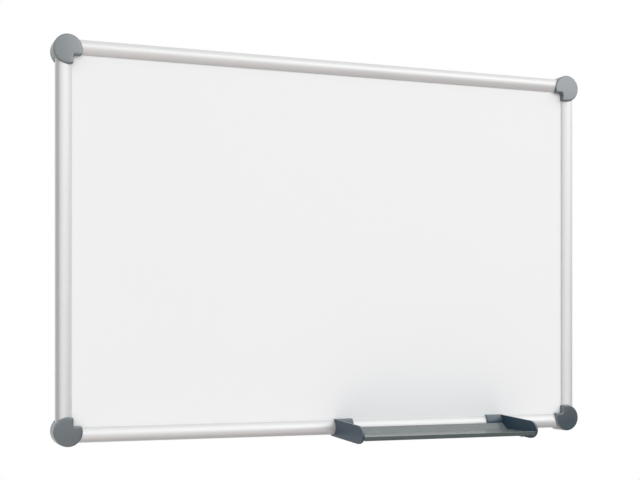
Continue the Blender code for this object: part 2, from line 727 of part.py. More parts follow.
def shelf_levels():
    """Rear edge, end of the rear slope, start of the lip slope and outer lip of the shelf."""
    rear = RAIL_CROWN_LEVEL + SLIDE_GAP + CLIP_THICKNESS + SEAT_GAP
    front = CHEEK_FRONT_LEVEL - SHELF_LIP_SETBACK
    lip_inside = front - SHELF_LIP_WIDTH
    return rear, rear + SHELF_REAR_SLOPE, lip_inside - SHELF_LIP_SLOPE, lip_inside, front


def rib_places():
    rear, slope_end, lip_slope, _, _ = shelf_levels()
    return [slope_end + share * (lip_slope - slope_end) for share in SHELF_RIB_SHARES]


def shelf_outline():
    """The shelf's section as level and height: rear slope, floor, raised front lip, two ribs below."""
    rear, slope_end, lip_slope, lip_inside, front = shelf_levels()
    under = SHELF_FLOOR_HEIGHT - SHELF_THICKNESS
    half_rib = SHELF_RIB_WIDTH / 2
    top = [
        (rear, SHELF_REAR_HEIGHT),
        (slope_end, SHELF_FLOOR_HEIGHT),
        (lip_slope, SHELF_FLOOR_HEIGHT),
        (lip_inside, SHELF_LIP_TOP_HEIGHT),
        (front, SHELF_LIP_TOP_HEIGHT),
        (front, SHELF_LIP_BOTTOM_HEIGHT),
        (front - SHELF_THICKNESS, SHELF_LIP_BOTTOM_HEIGHT),
        (front - SHELF_THICKNESS, SHELF_LIP_TOP_HEIGHT - SHELF_THICKNESS),
        (lip_inside, SHELF_LIP_TOP_HEIGHT - SHELF_THICKNESS),
        (lip_slope, under),
    ]
    ribs = []
    for place in reversed(rib_places()):
        ribs += [
            (place + half_rib, under),
            (place + half_rib, under - SHELF_RIB_DEPTH),
            (place - half_rib, under - SHELF_RIB_DEPTH),
            (place - half_rib, under),
        ]
    return top + ribs + [(slope_end, under), (rear, SHELF_REAR_HEIGHT - SHELF_THICKNESS)]


def ledge_top():
    return SHELF_FLOOR_HEIGHT - SHELF_THICKNESS - SHELF_RIB_DEPTH - SEAT_GAP


def ledge_outline():
    """The ledge under the shelf's ribs, as level and height."""
    places = rib_places()
    high = ledge_top()
    return rectangle(places[0] - LEDGE_MARGIN, places[1] + LEDGE_MARGIN, high - LEDGE_THICKNESS, high)


def tray_screw_x():
    """Distance of the tray screws from the tray's middle."""
    return TRAY_WIDTH / 2 - CHEEK_THICKNESS - LEDGE_WIDTH / 2


def bracket_mesh(side):
    """A tray bracket about the tray's middle: cheek, clip round the rail and ledge under the shelf."""
    outer = side * TRAY_WIDTH / 2
    cheek_inner = side * (TRAY_WIDTH / 2 - CHEEK_THICKNESS)
    clip_inner = side * (TRAY_WIDTH / 2 - CLIP_WIDTH)
    ledge_inner = side * (TRAY_WIDTH / 2 - CHEEK_THICKNESS - LEDGE_WIDTH)
    inside_cheek = side * (TRAY_WIDTH / 2 - CHEEK_THICKNESS / 2)
    cheek = prism("cheek", [cheek_outline()], along_x, outer, cheek_inner)
    clip = prism("clip", [clip_outline()], along_x, inside_cheek, clip_inner)
    ledge = prism("ledge", [ledge_outline()], along_x, inside_cheek, ledge_inner)
    joined = combined(cheek, [clip, ledge], "UNION")
    holes = []
    for place in rib_places():
        outline = circle((side * tray_screw_x(), -place), TRAY_SCREW_RADIUS + SEAT_GAP, SCREW_SIDES)
        low = ledge_top() - LEDGE_THICKNESS - CUT_OVERRUN / 2
        holes.append(prism("screw_hole", [outline], upward, low, ledge_top() + SEAT_GAP / 2))
    return smooth(combined(joined, holes, "DIFFERENCE"))


def shelf_mesh():
    half = TRAY_WIDTH / 2 - CHEEK_THICKNESS - SEAT_GAP
    body = prism("shelf", [shelf_outline()], along_x, -half, half)
    holes = []
    low = ledge_top() - SEAT_GAP
    high = ledge_top() + TRAY_SCREW_LENGTH - LEDGE_THICKNESS + SEAT_GAP
    for side in (-1, 1):
        for place in rib_places():
            outline = circle((side * tray_screw_x(), -place), TRAY_SCREW_RADIUS + SEAT_GAP, SCREW_SIDES)
            holes.append(prism("screw_hole", [outline], upward, low, high))
    return smooth(combined(body, holes, "DIFFERENCE"))


def add_tray():
    """The tray's pieces, each with its origin at the tray's middle on the frame's lower edge."""
    origin = Vector((TRAY_CENTRE_X, 0, -FRAME_HEIGHT / 2))
    add_piece("tray_shelf", shelf_mesh(), SHELF_PLASTIC, origin)
    add_piece("tray_bracket_left", bracket_mesh(-1), TRAY_PLASTIC, origin)
    add_piece("tray_bracket_right", bracket_mesh(1), TRAY_PLASTIC, origin)
    screw = screw_mesh(
        "tray_screw",
        TRAY_SCREW_RADIUS,
        TRAY_SCREW_LENGTH,
        TRAY_SCREW_HEAD_RADIUS,
        TRAY_SCREW_HEAD_HEIGHT,
    )
    height = ledge_top() - LEDGE_THICKNESS - SEAT_GAP
    for side, side_name in ((-1, "left"), (1, "right")):
        for place, place_name in zip(rib_places(), ("rear", "front")):
            offset = Vector((side * tray_screw_x(), -place, height))
            piece = add_piece(f"tray_screw_{side_name}_{place_name}", screw, SCREW_STEEL, origin + offset)
            piece.rotation_euler = (-math.pi / 2, 0, 0)


def main():
    clear_scene()
    add_panel()
    add_rails()
    add_corners()
    add_frame_screws()
    add_tray()


main()
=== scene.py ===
"""Dresses a magnetic whiteboard: lacquered panel, drawn aluminium rails, moulded corners and pen tray.

Metres, +Z up. The wall is the plane Y = 0 and the board faces -Y. A level is a distance out from the
wall, so a level is at Y = -level. An inset is a distance in from the outer edge of the frame.
"""

import math

import bmesh
import bpy
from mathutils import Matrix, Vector


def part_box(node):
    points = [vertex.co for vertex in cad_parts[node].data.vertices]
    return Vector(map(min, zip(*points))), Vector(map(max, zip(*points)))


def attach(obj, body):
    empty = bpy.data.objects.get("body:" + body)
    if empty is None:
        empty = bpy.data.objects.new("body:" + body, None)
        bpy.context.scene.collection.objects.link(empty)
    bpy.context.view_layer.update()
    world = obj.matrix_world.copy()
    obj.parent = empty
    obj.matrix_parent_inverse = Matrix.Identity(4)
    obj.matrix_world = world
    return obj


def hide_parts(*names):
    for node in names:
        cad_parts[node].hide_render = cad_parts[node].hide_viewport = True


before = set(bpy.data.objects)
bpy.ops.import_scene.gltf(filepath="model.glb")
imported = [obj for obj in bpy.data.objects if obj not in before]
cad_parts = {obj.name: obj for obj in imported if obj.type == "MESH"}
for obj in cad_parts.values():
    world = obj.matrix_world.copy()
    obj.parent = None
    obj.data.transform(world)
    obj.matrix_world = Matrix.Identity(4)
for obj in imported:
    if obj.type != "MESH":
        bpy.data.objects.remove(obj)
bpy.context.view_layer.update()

bl_info = {
    "name": "Magnetic Whiteboard",
    "version": (1, 0, 0),
    "blender": (4, 5, 0),
    "location": "3D View > Sidebar > Whiteboard",
    "description": "Builds the visible pieces and finishes of a framed magnetic whiteboard",
    "category": "Object",
}

MEASURE_DIGITS = 5


def node_size(name, axis):
    """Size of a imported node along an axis."""
    low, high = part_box(name)
    return high[axis] - low[axis]


def levels(name):
    """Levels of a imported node's back and front, to a hundredth of a millimetre."""
    low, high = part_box(name)
    return round(-high[1], MEASURE_DIGITS), round(-low[1], MEASURE_DIGITS)


# Outline of the frame and of the tray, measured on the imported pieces
FRAME_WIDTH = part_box("rail_right")[1][0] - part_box("rail_left")[0][0]
FRAME_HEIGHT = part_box("rail_top")[1][2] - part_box("rail_bottom")[0][2]
TRAY_CENTRE_X = (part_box("tray_shelf")[0][0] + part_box("tray_shelf")[1][0]) / 2
TRAY_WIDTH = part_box("tray_bracket_right")[1][0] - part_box("tray_bracket_left")[0][0]

# Levels of the backs and fronts, measured in the same way
PANEL_BACK_LEVEL = levels("back_sheet")[0]
PANEL_FRONT_LEVEL = levels("writing_surface")[1]
RAIL_BACK_LEVEL, RAIL_CROWN_LEVEL = levels("rail_top")
COVER_BACK_LEVEL, COVER_CROWN_LEVEL = levels("corner_cover_top_left")
TRAY_FRONT_LEVEL = levels("tray_bracket_left")[1]
MARGIN_DEPTH = 0.0002
MARGIN_LEVEL = PANEL_FRONT_LEVEL - MARGIN_DEPTH

# Clearances and Boolean overrun
SEAT_GAP = 0.0003
SLIDE_GAP = 0.0004
CUT_OVERRUN = 0.004
MERGE_DISTANCE = 0.000002

# Shading and rounding of edges, with angles in degrees
SHARP_ANGLE = 32
FLAT_ANGLE = 0.5
MOULDED_EDGE_RADIUS = 0.0002

# Rail section
RAIL_WIDTH = round(node_size("rail_left", 0), MEASURE_DIGITS)
RAIL_SIDE_LEVEL = 0.0145
RAIL_CROWN_INSET = 0.0112
RAIL_BACK_INSET = 0.0025
RAIL_WALL = 0.0014
RAIL_LIP_THICKNESS = 0.0012
RAIL_REAR_LIP_INSET = 0.0185
GROOVE_INSET = 0.0107
RAIL_ARC_STEPS = 22
RAIL_EDGE_RADIUS = 0.00022

# Corner cover
DRUM_OVERHANG = 0.0048
DRUM_DRAFT = 0.0006
DRUM_ARC_STEPS = 60
ARM_CORNER_RADIUS = 0.0016
COVER_WALL = 0.0015
COVER_BACK_EDGE = 0.0003
COVER_EDGE_STEPS = 6
COVER_DOME_RISE = 0.0004
COVER_RIM_LEVEL = COVER_CROWN_LEVEL - COVER_DOME_RISE
COVER_GRID_STEP = 0.0035
COVER_FRONT_FACING = 0.999
NOTCH_CORNER_RADIUS = 0.0030
NOTCH_CORNER_STEPS = 8
CORNER_ARC_STEPS = 6
PIN_RADIUS = 0.0012
PIN_LENGTH = 0.0140
PIN_TIP = 0.0005
PIN_SIDE_REACH = 0.0157
PIN_CORNER_SHIFT = 0.0035
PIN_STEPS = 20

# Screws
SCREW_STEPS = 28
SCREW_HEAD_SHARES = ((1.0, 0.0), (1.0, 0.28), (0.96, 0.52), (0.86, 0.74), (0.66, 0.92), (0.36, 1.0))
FRAME_SCREW_RADIUS = 0.0014
FRAME_SCREW_LENGTH = 0.0095
FRAME_SCREW_HEAD_RADIUS = 0.0028
FRAME_SCREW_HEAD_HEIGHT = 0.0017
TRAY_SCREW_RADIUS = 0.0011
TRAY_SCREW_LENGTH = 0.0046
TRAY_SCREW_HEAD_RADIUS = 0.0024
TRAY_SCREW_HEAD_HEIGHT = 0.0013
RECESS_LENGTH_SHARE = 0.62
RECESS_WIDTH_SHARE = 0.20
RECESS_DEPTH_SHARE = 0.62
THREAD_PITCH = 0.0009
THREAD_DEPTH_SHARE = 0.22
SCREW_TIP_SHARE = 0.3

# Pen tray
CHEEK_THICKNESS = 0.0030
CLIP_WIDTH = 0.0310
CLIP_THICKNESS = 0.0024
CLIP_HOOK_INSET = 0.0255
CLIP_BACK_SHARE = 0.5
CHEEK_NOSE_DEPTH = 0.0185
CHEEK_NOSE_HEIGHT = 0.0080
CHEEK_SHOULDER_HEIGHT = 0.0218
CHEEK_NOSE_DROP = 0.0062
CHEEK_ARC_STEPS = 18
TRAY_EDGE_RADIUS = 0.00045
TRAY_EDGE_SEGMENTS = 3
SHELF_REAR_HEIGHT = 0.0124
SHELF_REAR_SLOPE = 0.0140
SHELF_FLOOR_HEIGHT = 0.0036
SHELF_THICKNESS = 0.0018
SHELF_LIP_TOP_HEIGHT = 0.0060
SHELF_LIP_BOTTOM_HEIGHT = -0.0005
SHELF_LIP_SETBACK = 0.0012
SHELF_LIP_WIDTH = 0.0030
SHELF_LIP_SLOPE = 0.0060
SHELF_RIB_WIDTH = 0.0046
SHELF_RIB_DEPTH = 0.0036
SHELF_RIB_SHARES = (0.24, 0.70)
LEDGE_WIDTH = 0.0110
LEDGE_THICKNESS = 0.0020
LEDGE_MARGIN = 0.0050

# Signs of X and Z of each corner, and the turn about Y that brings a piece there
CORNERS = {
    "top_left": (-1, 1, 90),
    "top_right": (1, 1, 180),
    "bottom_left": (-1, -1, 0),
    "bottom_right": (1, -1, -90),
}
SIDES = ("left", "right")
SCREW_ROWS = ("rear", "front")


def length_setting(label, text, value):
    return bpy.props.FloatProperty(
        name=label, description=text, default=value, unit="LENGTH", precision=4
    )


def colour_setting(label, text, value):
    return bpy.props.FloatVectorProperty(name=label, description=text, default=value, subtype="COLOR")


class WhiteboardSizes(bpy.types.PropertyGroup):
    """Sizes of the visible pieces."""

    rail_width: length_setting("Rail width", "Width of a rail seen from the front", RAIL_WIDTH)
    rail_crown: length_setting("Rail crown", "Level of the highest line of a rail", RAIL_CROWN_LEVEL)
    drum_radius: length_setting("Corner radius", "Radius of a round corner cover", 0.0220)
    drum_front: length_setting("Corner front", "Level of the rim of a cover's front", COVER_RIM_LEVEL)
    drum_edge: length_setting("Corner edge", "Radius of the round edge of a corner cover", 0.0013)
    tray_reach: length_setting("Tray reach", "Level of the front of the tray's cheeks", TRAY_FRONT_LEVEL)


class WhiteboardFinishes(bpy.types.PropertyGroup):
    """Colours of the finishes."""

    lacquer: colour_setting("Lacquer", "Colour of the writing face", (0.878, 0.891, 0.901))
    aluminium: colour_setting("Aluminium", "Colour of the drawn rails", (0.73, 0.73, 0.73))
    corner_plastic: colour_setting("Corner plastic", "Colour of the corners", (0.05, 0.075, 0.092))
    tray_plastic: colour_setting("Tray plastic", "Colour of the tray's brackets", (0.024, 0.058, 0.092))
    shelf_plastic: colour_setting("Shelf plastic", "Colour of the tray's shelf", (0.085, 0.105, 0.105))
    nylon: colour_setting("Nylon", "Colour of the wall bushes", (0.70, 0.69, 0.63))
    steel: colour_setting("Plated steel", "Colour of the screws", (0.62, 0.63, 0.66))
    zinc_sheet: colour_setting("Zinc sheet", "Colour of the back sheet", (0.52, 0.54, 0.55))
    core_board: colour_setting("Core board", "Colour of the honeycomb board", (0.42, 0.30, 0.19))


class WhiteboardStage(bpy.types.PropertyGroup):
    """Camera and light of the studio."""

    camera_place: bpy.props.FloatVectorProperty(
        name="Camera",
        description="Place of the camera",
        default=(-0.7248, -1.5842, -0.1318),
        subtype="TRANSLATION",
        unit="LENGTH",
        precision=4,
        size=3,
    )
    camera_turn: bpy.props.FloatProperty(
        name="Turn",
        description="Turn of the camera to the right of straight ahead",
        default=math.radians(17.65),
        subtype="ANGLE",
    )
    camera_lens: bpy.props.FloatProperty(
        name="Lens", description="Focal length in millimetres", default=60.08, precision=2
    )
    camera_shift: bpy.props.FloatVectorProperty(
        name="Shift",
        description="Shift of the lens to the right and up, in widths of the picture",
        default=(0.1875, 0.1403),
        size=2,
        precision=4,
    )
    key_strength: bpy.props.FloatProperty(
        name="Key", description="Strength of the large lamp in front", default=1.0
    )
    room_strength: bpy.props.FloatProperty(
        name="Room", description="Strength of the light that the room throws back", default=1.5
    )


def ellipse_arc(centre, radii, start, end, steps):
    """Points along an elliptic arc between two angles in degrees."""
    points = []
    for step in range(steps + 1):
        angle = math.radians(start + (end - start) * step / steps)
        across = centre[0] + radii[0] * math.cos(angle)
        up = centre[1] + radii[1] * math.sin(angle)
        points.append((across, up))
    return points


def round_arc(centre, radius, start, end, steps):
    return ellipse_arc(centre, (radius, radius), start, end, steps)


def rectangle(left, right, low, high):
    return [(left, low), (right, low), (right, high), (left, high)]


def facing_wall(across, up, level):
    """A point of an outline drawn on the wall, at a level out from it."""
    return Vector((across, -level, up))


def along_x(level, up, along):
    """A point of a section drawn as level and height, swept along X."""
    return Vector((along, -level, up))


def rail_along_x(inset, level, along):
    """A point of a section drawn as inset and level, swept along X."""
    return Vector((along, -level, inset))


def rail_along_z(inset, level, along):
    """A point of a section drawn as inset and level, swept along Z."""
    return Vector((inset, -level, along))


def closed_mesh(name, shape):
    """Turns a bmesh into a mesh with its faces pointing out."""
    bmesh.ops.remove_doubles(shape, verts=shape.verts[:], dist=MERGE_DISTANCE)
    bmesh.ops.recalc_face_normals(shape, faces=shape.faces[:])
    mesh = bpy.data.meshes.new(name)
    shape.to_mesh(mesh)
    shape.free()
    return mesh


def smooth(mesh):
    """Shades the round faces smooth and keeps the edges sharp."""
    mesh.shade_smooth()
    mesh.set_sharp_from_angle(angle=math.radians(SHARP_ANGLE))
    return mesh


def prism(name, loops, place, start, end):
    """A body swept straight between two places; the first loop is its outline and the rest are holes."""
    shape = bmesh.new()
    for loop in loops:
        corners = [shape.verts.new(place(a, b, start)) for a, b in loop]
        for first, second in zip(corners, corners[1:] + corners[:1]):
            shape.edges.new((first, second))
    bmesh.ops.triangle_fill(shape, edges=shape.edges[:], use_beauty=True)
    swept = bmesh.ops.extrude_face_region(shape, geom=shape.faces[:])["geom"]
    moved = [item for item in swept if isinstance(item, bmesh.types.BMVert)]
    travel = place(0, 0, end) - place(0, 0, start)
    bmesh.ops.translate(shape, verts=moved, vec=travel)
    return closed_mesh(name, shape)


def turned(name, profile, steps):
    """A body turned about Y from a profile of radius and level that starts and ends on the axis."""
    shape = bmesh.new()
    corners = [shape.verts.new((radius, -level, 0)) for radius, level in profile]
    edges = [shape.edges.new(pair) for pair in zip(corners, corners[1:])]
    axis = {"cent": (0, 0, 0), "axis": (0, 1, 0), "angle": math.tau}
    bmesh.ops.spin(shape, geom=corners + edges, steps=steps, use_merge=True, **axis)
    return closed_mesh(name, shape)


def new_object(name, data):
    """An object linked to the scene."""
    item = bpy.data.objects.new(name, data)
    bpy.context.scene.collection.objects.link(item)
    return item


def combined(body, others, operation):
    """The body mesh after one exact Boolean modifier for each of the other meshes."""
    target = new_object(body.name, body)
    tools = []
    for other in others:
        tool = new_object(other.name, other)
        modifier = target.modifiers.new(other.name, "BOOLEAN")
        modifier.operation = operation
        modifier.solver = "EXACT"
        modifier.object = tool
        tools.append(tool)
    bpy.context.view_layer.update()
    evaluated = target.evaluated_get(bpy.context.evaluated_depsgraph_get())
    result = bpy.data.meshes.new_from_object(evaluated)
    for item in tools + [target]:
        bpy.data.objects.remove(item, do_unlink=True)
    return result


def add_piece(name, node, mesh, look, slot, body, location=(0, 0, 0), turn=0):
    """A visible piece with a finish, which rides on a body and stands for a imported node."""
    mesh.materials.clear()
    mesh.materials.append(finish(look))
    piece = new_object(name, mesh)
    piece.location = location
    piece.rotation_euler = (0, math.radians(turn), 0)
    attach(piece, body)
    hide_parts(node)
    return piece


def round_edges(piece, radius, segments=2):
    """Rounds the sharp edges of a piece and keeps its flat faces flat."""
    bevel = piece.modifiers.new("round_edges", "BEVEL")
    bevel.width = radius
    bevel.segments = segments
    bevel.limit_method = "ANGLE"
    bevel.angle_limit = math.radians(SHARP_ANGLE)
    normals = piece.modifiers.new("flat_faces", "WEIGHTED_NORMAL")
    normals.keep_sharp = True


def dress_node(name, look):
    """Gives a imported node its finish."""
    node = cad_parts[name]
    if not node.material_slots:
        node.data.materials.append(None)
    for place in node.material_slots:
        place.link = "OBJECT"
        place.material = finish(look)


def smoothed_node(node, look, slot, body):
    """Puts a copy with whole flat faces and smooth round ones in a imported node's place."""
    shape = bmesh.new()
    shape.from_mesh(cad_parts[node].data)
    bmesh.ops.remove_doubles(shape, verts=shape.verts[:], dist=MERGE_DISTANCE)
    flat = math.radians(FLAT_ANGLE)
    bmesh.ops.dissolve_limit(shape, angle_limit=flat, verts=shape.verts[:], edges=shape.edges[:])
    mesh = smooth(closed_mesh(f"seen_{node}", shape))
    piece = add_piece(f"seen_{node}", node, mesh, look, slot, body)
    round_edges(piece, MOULDED_EDGE_RADIUS)


# Shader building blocks

COLOUR = "NodeSocketColor"
NUMBER = "NodeSocketFloat"
WHITE = (1.0, 1.0, 1.0, 1.0)
# Light grey-green that dust and painted top light bring to what faces up
DUST_AND_TOP_LIGHT_COLOUR = (0.58, 0.61, 0.60, 1.0)
RUBBED_GAIN = 1.5
RUBBED_LIFT = 0.03
PLASTIC_CLOUD = 0.06


def feed(tree, node, inputs):
    """Gives a node its plain values and links it to the sockets among them."""
    for key, value in inputs.items():
        if isinstance(value, bpy.types.NodeSocket):
            tree.links.new(value, node.inputs[key])
        else:
            node.inputs[key].default_value = value


def add_node(tree, kind, inputs=None, **settings):
    """A shader node with its settings and its inputs."""
    node = tree.nodes.new(kind)
    for key, value in settings.items():
        setattr(node, key, value)
    feed(tree, node, inputs or {})
    return node


def worked_out(tree, operation, first, second, clamp=False):
    """One number from two."""
    node = add_node(tree, "ShaderNodeMath", {0: first, 1: second}, operation=operation, use_clamp=clamp)
    return node.outputs[0]


def ranged(tree, value, first, last, start=0.0, end=1.0, easing="LINEAR"):
    """A value brought from the span between start and end to that between first and last."""
    span = {"Value": value, "From Min": start, "From Max": end, "To Min": first, "To Max": last}
    return add_node(tree, "ShaderNodeMapRange", span, interpolation_type=easing).outputs[0]


def noise(tree, place, scale, detail, roughness=0.5):
    values = {"Vector": place, "Scale": scale, "Detail": detail, "Roughness": roughness}
    return add_node(tree, "ShaderNodeTexNoise", values).outputs["Fac"]


def stretched(tree, place, scale):
    return add_node(tree, "ShaderNodeMapping", {"Vector": place, "Scale": scale}).outputs[0]


def own_place(tree):
    """Where a point of the surface lies on its own piece."""
    return add_node(tree, "ShaderNodeTexCoord").outputs["Object"]


def mixed(tree, share, first, second):
    """A colour between two colours."""
    return add_node(tree, "ShaderNodeMix", {0: share, 6: first, 7: second}, data_type="RGBA").outputs[2]


def mottled(tree, colour, tone, amount):
    """A colour made darker and lighter by a tone from 0 to 1."""
    low = worked_out(tree, "SUBTRACT", 1.0, amount)
    high = worked_out(tree, "ADD", 1.0, amount)
    value = ranged(tree, tone, low, high)
    return add_node(tree, "ShaderNodeHueSaturation", {"Value": value, "Color": colour}).outputs[0]


def new_group(name, inputs, outputs):
    """An empty shader group with named sockets, the sockets of its inputs, and its output node."""
    group = bpy.data.node_groups.new(name, "ShaderNodeTree")
    for label, kind, value in inputs:
        socket = group.interface.new_socket(label, in_out="INPUT", socket_type=kind)
        socket.default_value = value
    for label, kind in outputs:
        group.interface.new_socket(label, in_out="OUTPUT", socket_type=kind)
    given = group.nodes.new("NodeGroupInput").outputs
    return group, given, group.nodes.new("NodeGroupOutput")


def relief_group(name, scale, amount, roughness):
    """A group for a fine relief, whose scale and amount of mottling have names and plain values."""
    inputs = [("Colour", COLOUR, WHITE), (scale[0], NUMBER, scale[1])]
    inputs += [(amount[0], NUMBER, amount[1]), ("Roughness", NUMBER, roughness)]
    outputs = (("Colour", COLOUR), ("Roughness", NUMBER), ("Height", NUMBER))
    return new_group(name, inputs, outputs)


def feed_relief(group, given, result, tone, amount, spread, height):
    """Feeds such a group's outputs from a tone and a height."""
    colour = mottled(group, given["Colour"], tone, given[amount])
    rough = worked_out(group, "ADD", given["Roughness"], ranged(group, tone, -spread, spread))
    feed(group, result, {"Colour": colour, "Roughness": rough, "Height": height})
    return group


def moulded_grain():
    """Fine spark-eroded grain of a moulding, with slight clouds in its colour."""
    values = (("Grain Per Metre", 2600.0), ("Cloud Amount", 0.05), 0.5)
    group, given, result = relief_group("moulded_grain", *values)
    place = own_place(group)
    grain = noise(group, place, given["Grain Per Metre"], 3.0, 0.6)
    cloud = noise(group, place, 45.0, 4.0)
    return feed_relief(group, given, result, cloud, "Cloud Amount", 0.05, grain)


def drawn_lines():
    """Fine die lines along the length of a drawn profile."""
    values = (("Lines Per Metre", 1500.0), ("Line Amount", 0.04), 0.35)
    group, given, result = relief_group("drawn_lines", *values)
    place = own_place(group)
    along = stretched(group, place, (0.004, 1.0, 1.0))
    lines = noise(group, along, given["Lines Per Metre"], 3.0)
    cloud = noise(group, place, 18.0, 3.0)
    tone = worked_out(group, "MULTIPLY", worked_out(group, "ADD", lines, cloud), 0.5)
    return feed_relief(group, given, result, tone, "Line Amount", 0.06, lines)


def rubbed_rim():
    """Lighter, rubbed colour along the rims that carry the attribute rim."""
    inputs = (("Colour", COLOUR, WHITE), ("Rubbed Colour", COLOUR, WHITE), ("Amount", NUMBER, 0.5))
    group, given, result = new_group("rubbed_rim", inputs, [("Colour", COLOUR)])
    rim = add_node(group, "ShaderNodeAttribute", attribute_name="rim").outputs["Fac"]
    patches = noise(group, own_place(group), 320.0, 5.0)
    worn = worked_out(group, "MULTIPLY", rim, ranged(group, patches, -0.6, 1.6), clamp=True)
    mask = worked_out(group, "MULTIPLY", worn, given["Amount"], clamp=True)
    feed(group, result, {"Colour": mixed(group, mask, given["Colour"], given["Rubbed Colour"])})
    return group


def dust_and_painted_top_light():
    """Thin dust on what faces up, and painted top light: the same mask makes what faces up lighter, as if
    lit from above.
    """
    inputs = (("Colour", COLOUR, WHITE), ("Amount", NUMBER, 0.1))
    group, given, result = new_group("dust_and_painted_top_light", inputs, [("Colour", COLOUR)])
    facing = add_node(group, "ShaderNodeNewGeometry").outputs["Normal"]
    height = add_node(group, "ShaderNodeSeparateXYZ", {0: facing}).outputs["Z"]
    upward = ranged(group, height, 0.0, 1.0, 0.05, 0.75)
    patches = noise(group, own_place(group), 70.0, 6.0, 0.65)
    # Mask of dust and painted top light: a lighter colour on what faces up
    dusty_and_lit_top = worked_out(group, "MULTIPLY", upward, ranged(group, patches, 0.55, 1.0))
    mask = worked_out(group, "MULTIPLY", dusty_and_lit_top, given["Amount"])
    feed(group, result, {"Colour": mixed(group, mask, given["Colour"], DUST_AND_TOP_LIGHT_COLOUR)})
    return group


GROUPS = {build.__name__: build for build in (moulded_grain, drawn_lines, rubbed_rim, dust_and_painted_top_light)}


def placed_group(tree, name, inputs):
    """The outputs of a shader group placed in a material; the group is built once and shared."""
    node = tree.nodes.new("ShaderNodeGroup")
    node.node_tree = bpy.data.node_groups.get(name) or GROUPS[name]()
    feed(tree, node, inputs)
    return node.outputs


# Finishes


def new_finish(name, values):
    """A material with a Principled shader and its plain values."""
    material = bpy.data.materials.new(name)
    material.use_nodes = True
    tree = material.node_tree
    shader = tree.nodes["Principled BSDF"]
    feed(tree, shader, values)
    return material, tree, shader


def coat(tree, shader, colour, roughness, height, strength, distance):
    """Feeds a shader its colour, its roughness and a normal bent by a height."""
    relief = {"Height": height, "Strength": strength, "Distance": distance}
    normal = add_node(tree, "ShaderNodeBump", relief).outputs["Normal"]
    feed(tree, shader, {"Base Color": colour, "Roughness": roughness, "Normal": normal})


def finish(name):
    """A finish by name, built once and shared."""
    return bpy.data.materials.get(name) or FINISHES[name](bpy.context.scene.whiteboard_finishes)


def grained(tree, colour, grain, cloud, roughness):
    """The moulded grain in a colour, with its grains per metre and its clouds."""
    values = {"Colour": (*colour, 1.0), "Grain Per Metre": grain, "Cloud Amount": cloud}
    return placed_group(tree, "moulded_grain", {**values, "Roughness": roughness})


def moulded_plastic(name, colour, grain, roughness, refraction, dust_and_top_light, rubbed=0.0, relief=0.00006):
    """Plastic with so many grains per metre, rubbed on its rims, and dusty on top with painted top light
    that makes what faces up lighter.
    """
    material, tree, shader = new_finish(name, {"IOR": refraction})
    base = grained(tree, colour, grain, PLASTIC_CLOUD, roughness)
    lighter = [min(1.0, RUBBED_GAIN * part + RUBBED_LIFT) for part in colour]
    worn = {"Colour": base["Colour"], "Rubbed Colour": (*lighter, 1.0), "Amount": rubbed}
    rim = placed_group(tree, "rubbed_rim", worn)
    # Dust and painted top light: what faces up is mixed towards a light grey-green
    top = placed_group(tree, "dust_and_painted_top_light", {"Colour": rim["Colour"], "Amount": dust_and_top_light})
    coat(tree, shader, top["Colour"], base["Roughness"], base["Height"], strength=0.25, distance=relief)
    return material


def corner_moulding(colours):
    surface = {"grain": 1900.0, "roughness": 0.22, "refraction": 2.2, "rubbed": 0.6, "relief": 0.00005}
    return moulded_plastic("corner_moulding", colours.corner_plastic, dust_and_top_light=0.04, **surface)


def tray_moulding(colours):
    surface = {"grain": 1900.0, "roughness": 0.40, "refraction": 1.5, "rubbed": 0.5, "relief": 0.00009}
    # A large share of painted top light makes the tops of the brackets light grey-green
    return moulded_plastic("tray_moulding", colours.tray_plastic, dust_and_top_light=0.36, **surface)


def shelf_moulding(colours):
    surface = {"grain": 1700.0, "roughness": 0.22, "refraction": 1.5, "relief": 0.00004}
    # A large share of painted top light makes the shelf's upper faces lighter
    return moulded_plastic("shelf_moulding", colours.shelf_plastic, dust_and_top_light=0.30, **surface)


def bush_nylon(colours):
    surface = {"grain": 1500.0, "roughness": 0.5, "refraction": 1.5}
    return moulded_plastic("bush_nylon", colours.nylon, dust_and_top_light=0.05, **surface)


def white_lacquer(colours):
    """White lacquer with a faint orange peel and the haze that wiping leaves."""
    material, tree, shader = new_finish("white_lacquer", {"Specular IOR Level": 0.2})
    place = own_place(tree)
    haze = noise(tree, stretched(tree, place, (1.0, 1.0, 2.6)), 5.0, 5.0, 0.55)
    peel = noise(tree, place, 420.0, 2.0)
    colour = mottled(tree, (*colours.lacquer, 1.0), haze, 0.006)
    rough = ranged(tree, haze, 0.46, 0.58)
    coat(tree, shader, colour, rough, peel, strength=0.12, distance=0.0002)
    return material


def drawn_aluminium(colours):
    """Satin anodised aluminium with die lines along it."""
    material, tree, shader = new_finish("drawn_aluminium", {"Metallic": 0.6})
    drawn = {"Colour": (*colours.aluminium, 1.0), "Lines Per Metre": 1400.0, "Line Amount": 0.05}
    lines = placed_group(tree, "drawn_lines", {**drawn, "Roughness": 0.50})
    # Dust and painted top light: what faces up is mixed towards a light grey-green
    top = placed_group(tree, "dust_and_painted_top_light", {"Colour": lines["Colour"], "Amount": 0.06})
    coat(tree, shader, top["Colour"], lines["Roughness"], lines["Height"], strength=0.12, distance=0.00009)
    return material


def plated_steel(colours):
    """Zinc plating, slightly clouded."""
    material, tree, shader = new_finish("plated_steel", {"Metallic": 1.0})
    base = grained(tree, colours.steel, grain=3000.0, cloud=0.12, roughness=0.30)
    coat(tree, shader, base["Colour"], base["Roughness"], base["Height"], strength=0.15, distance=0.00008)
    return material


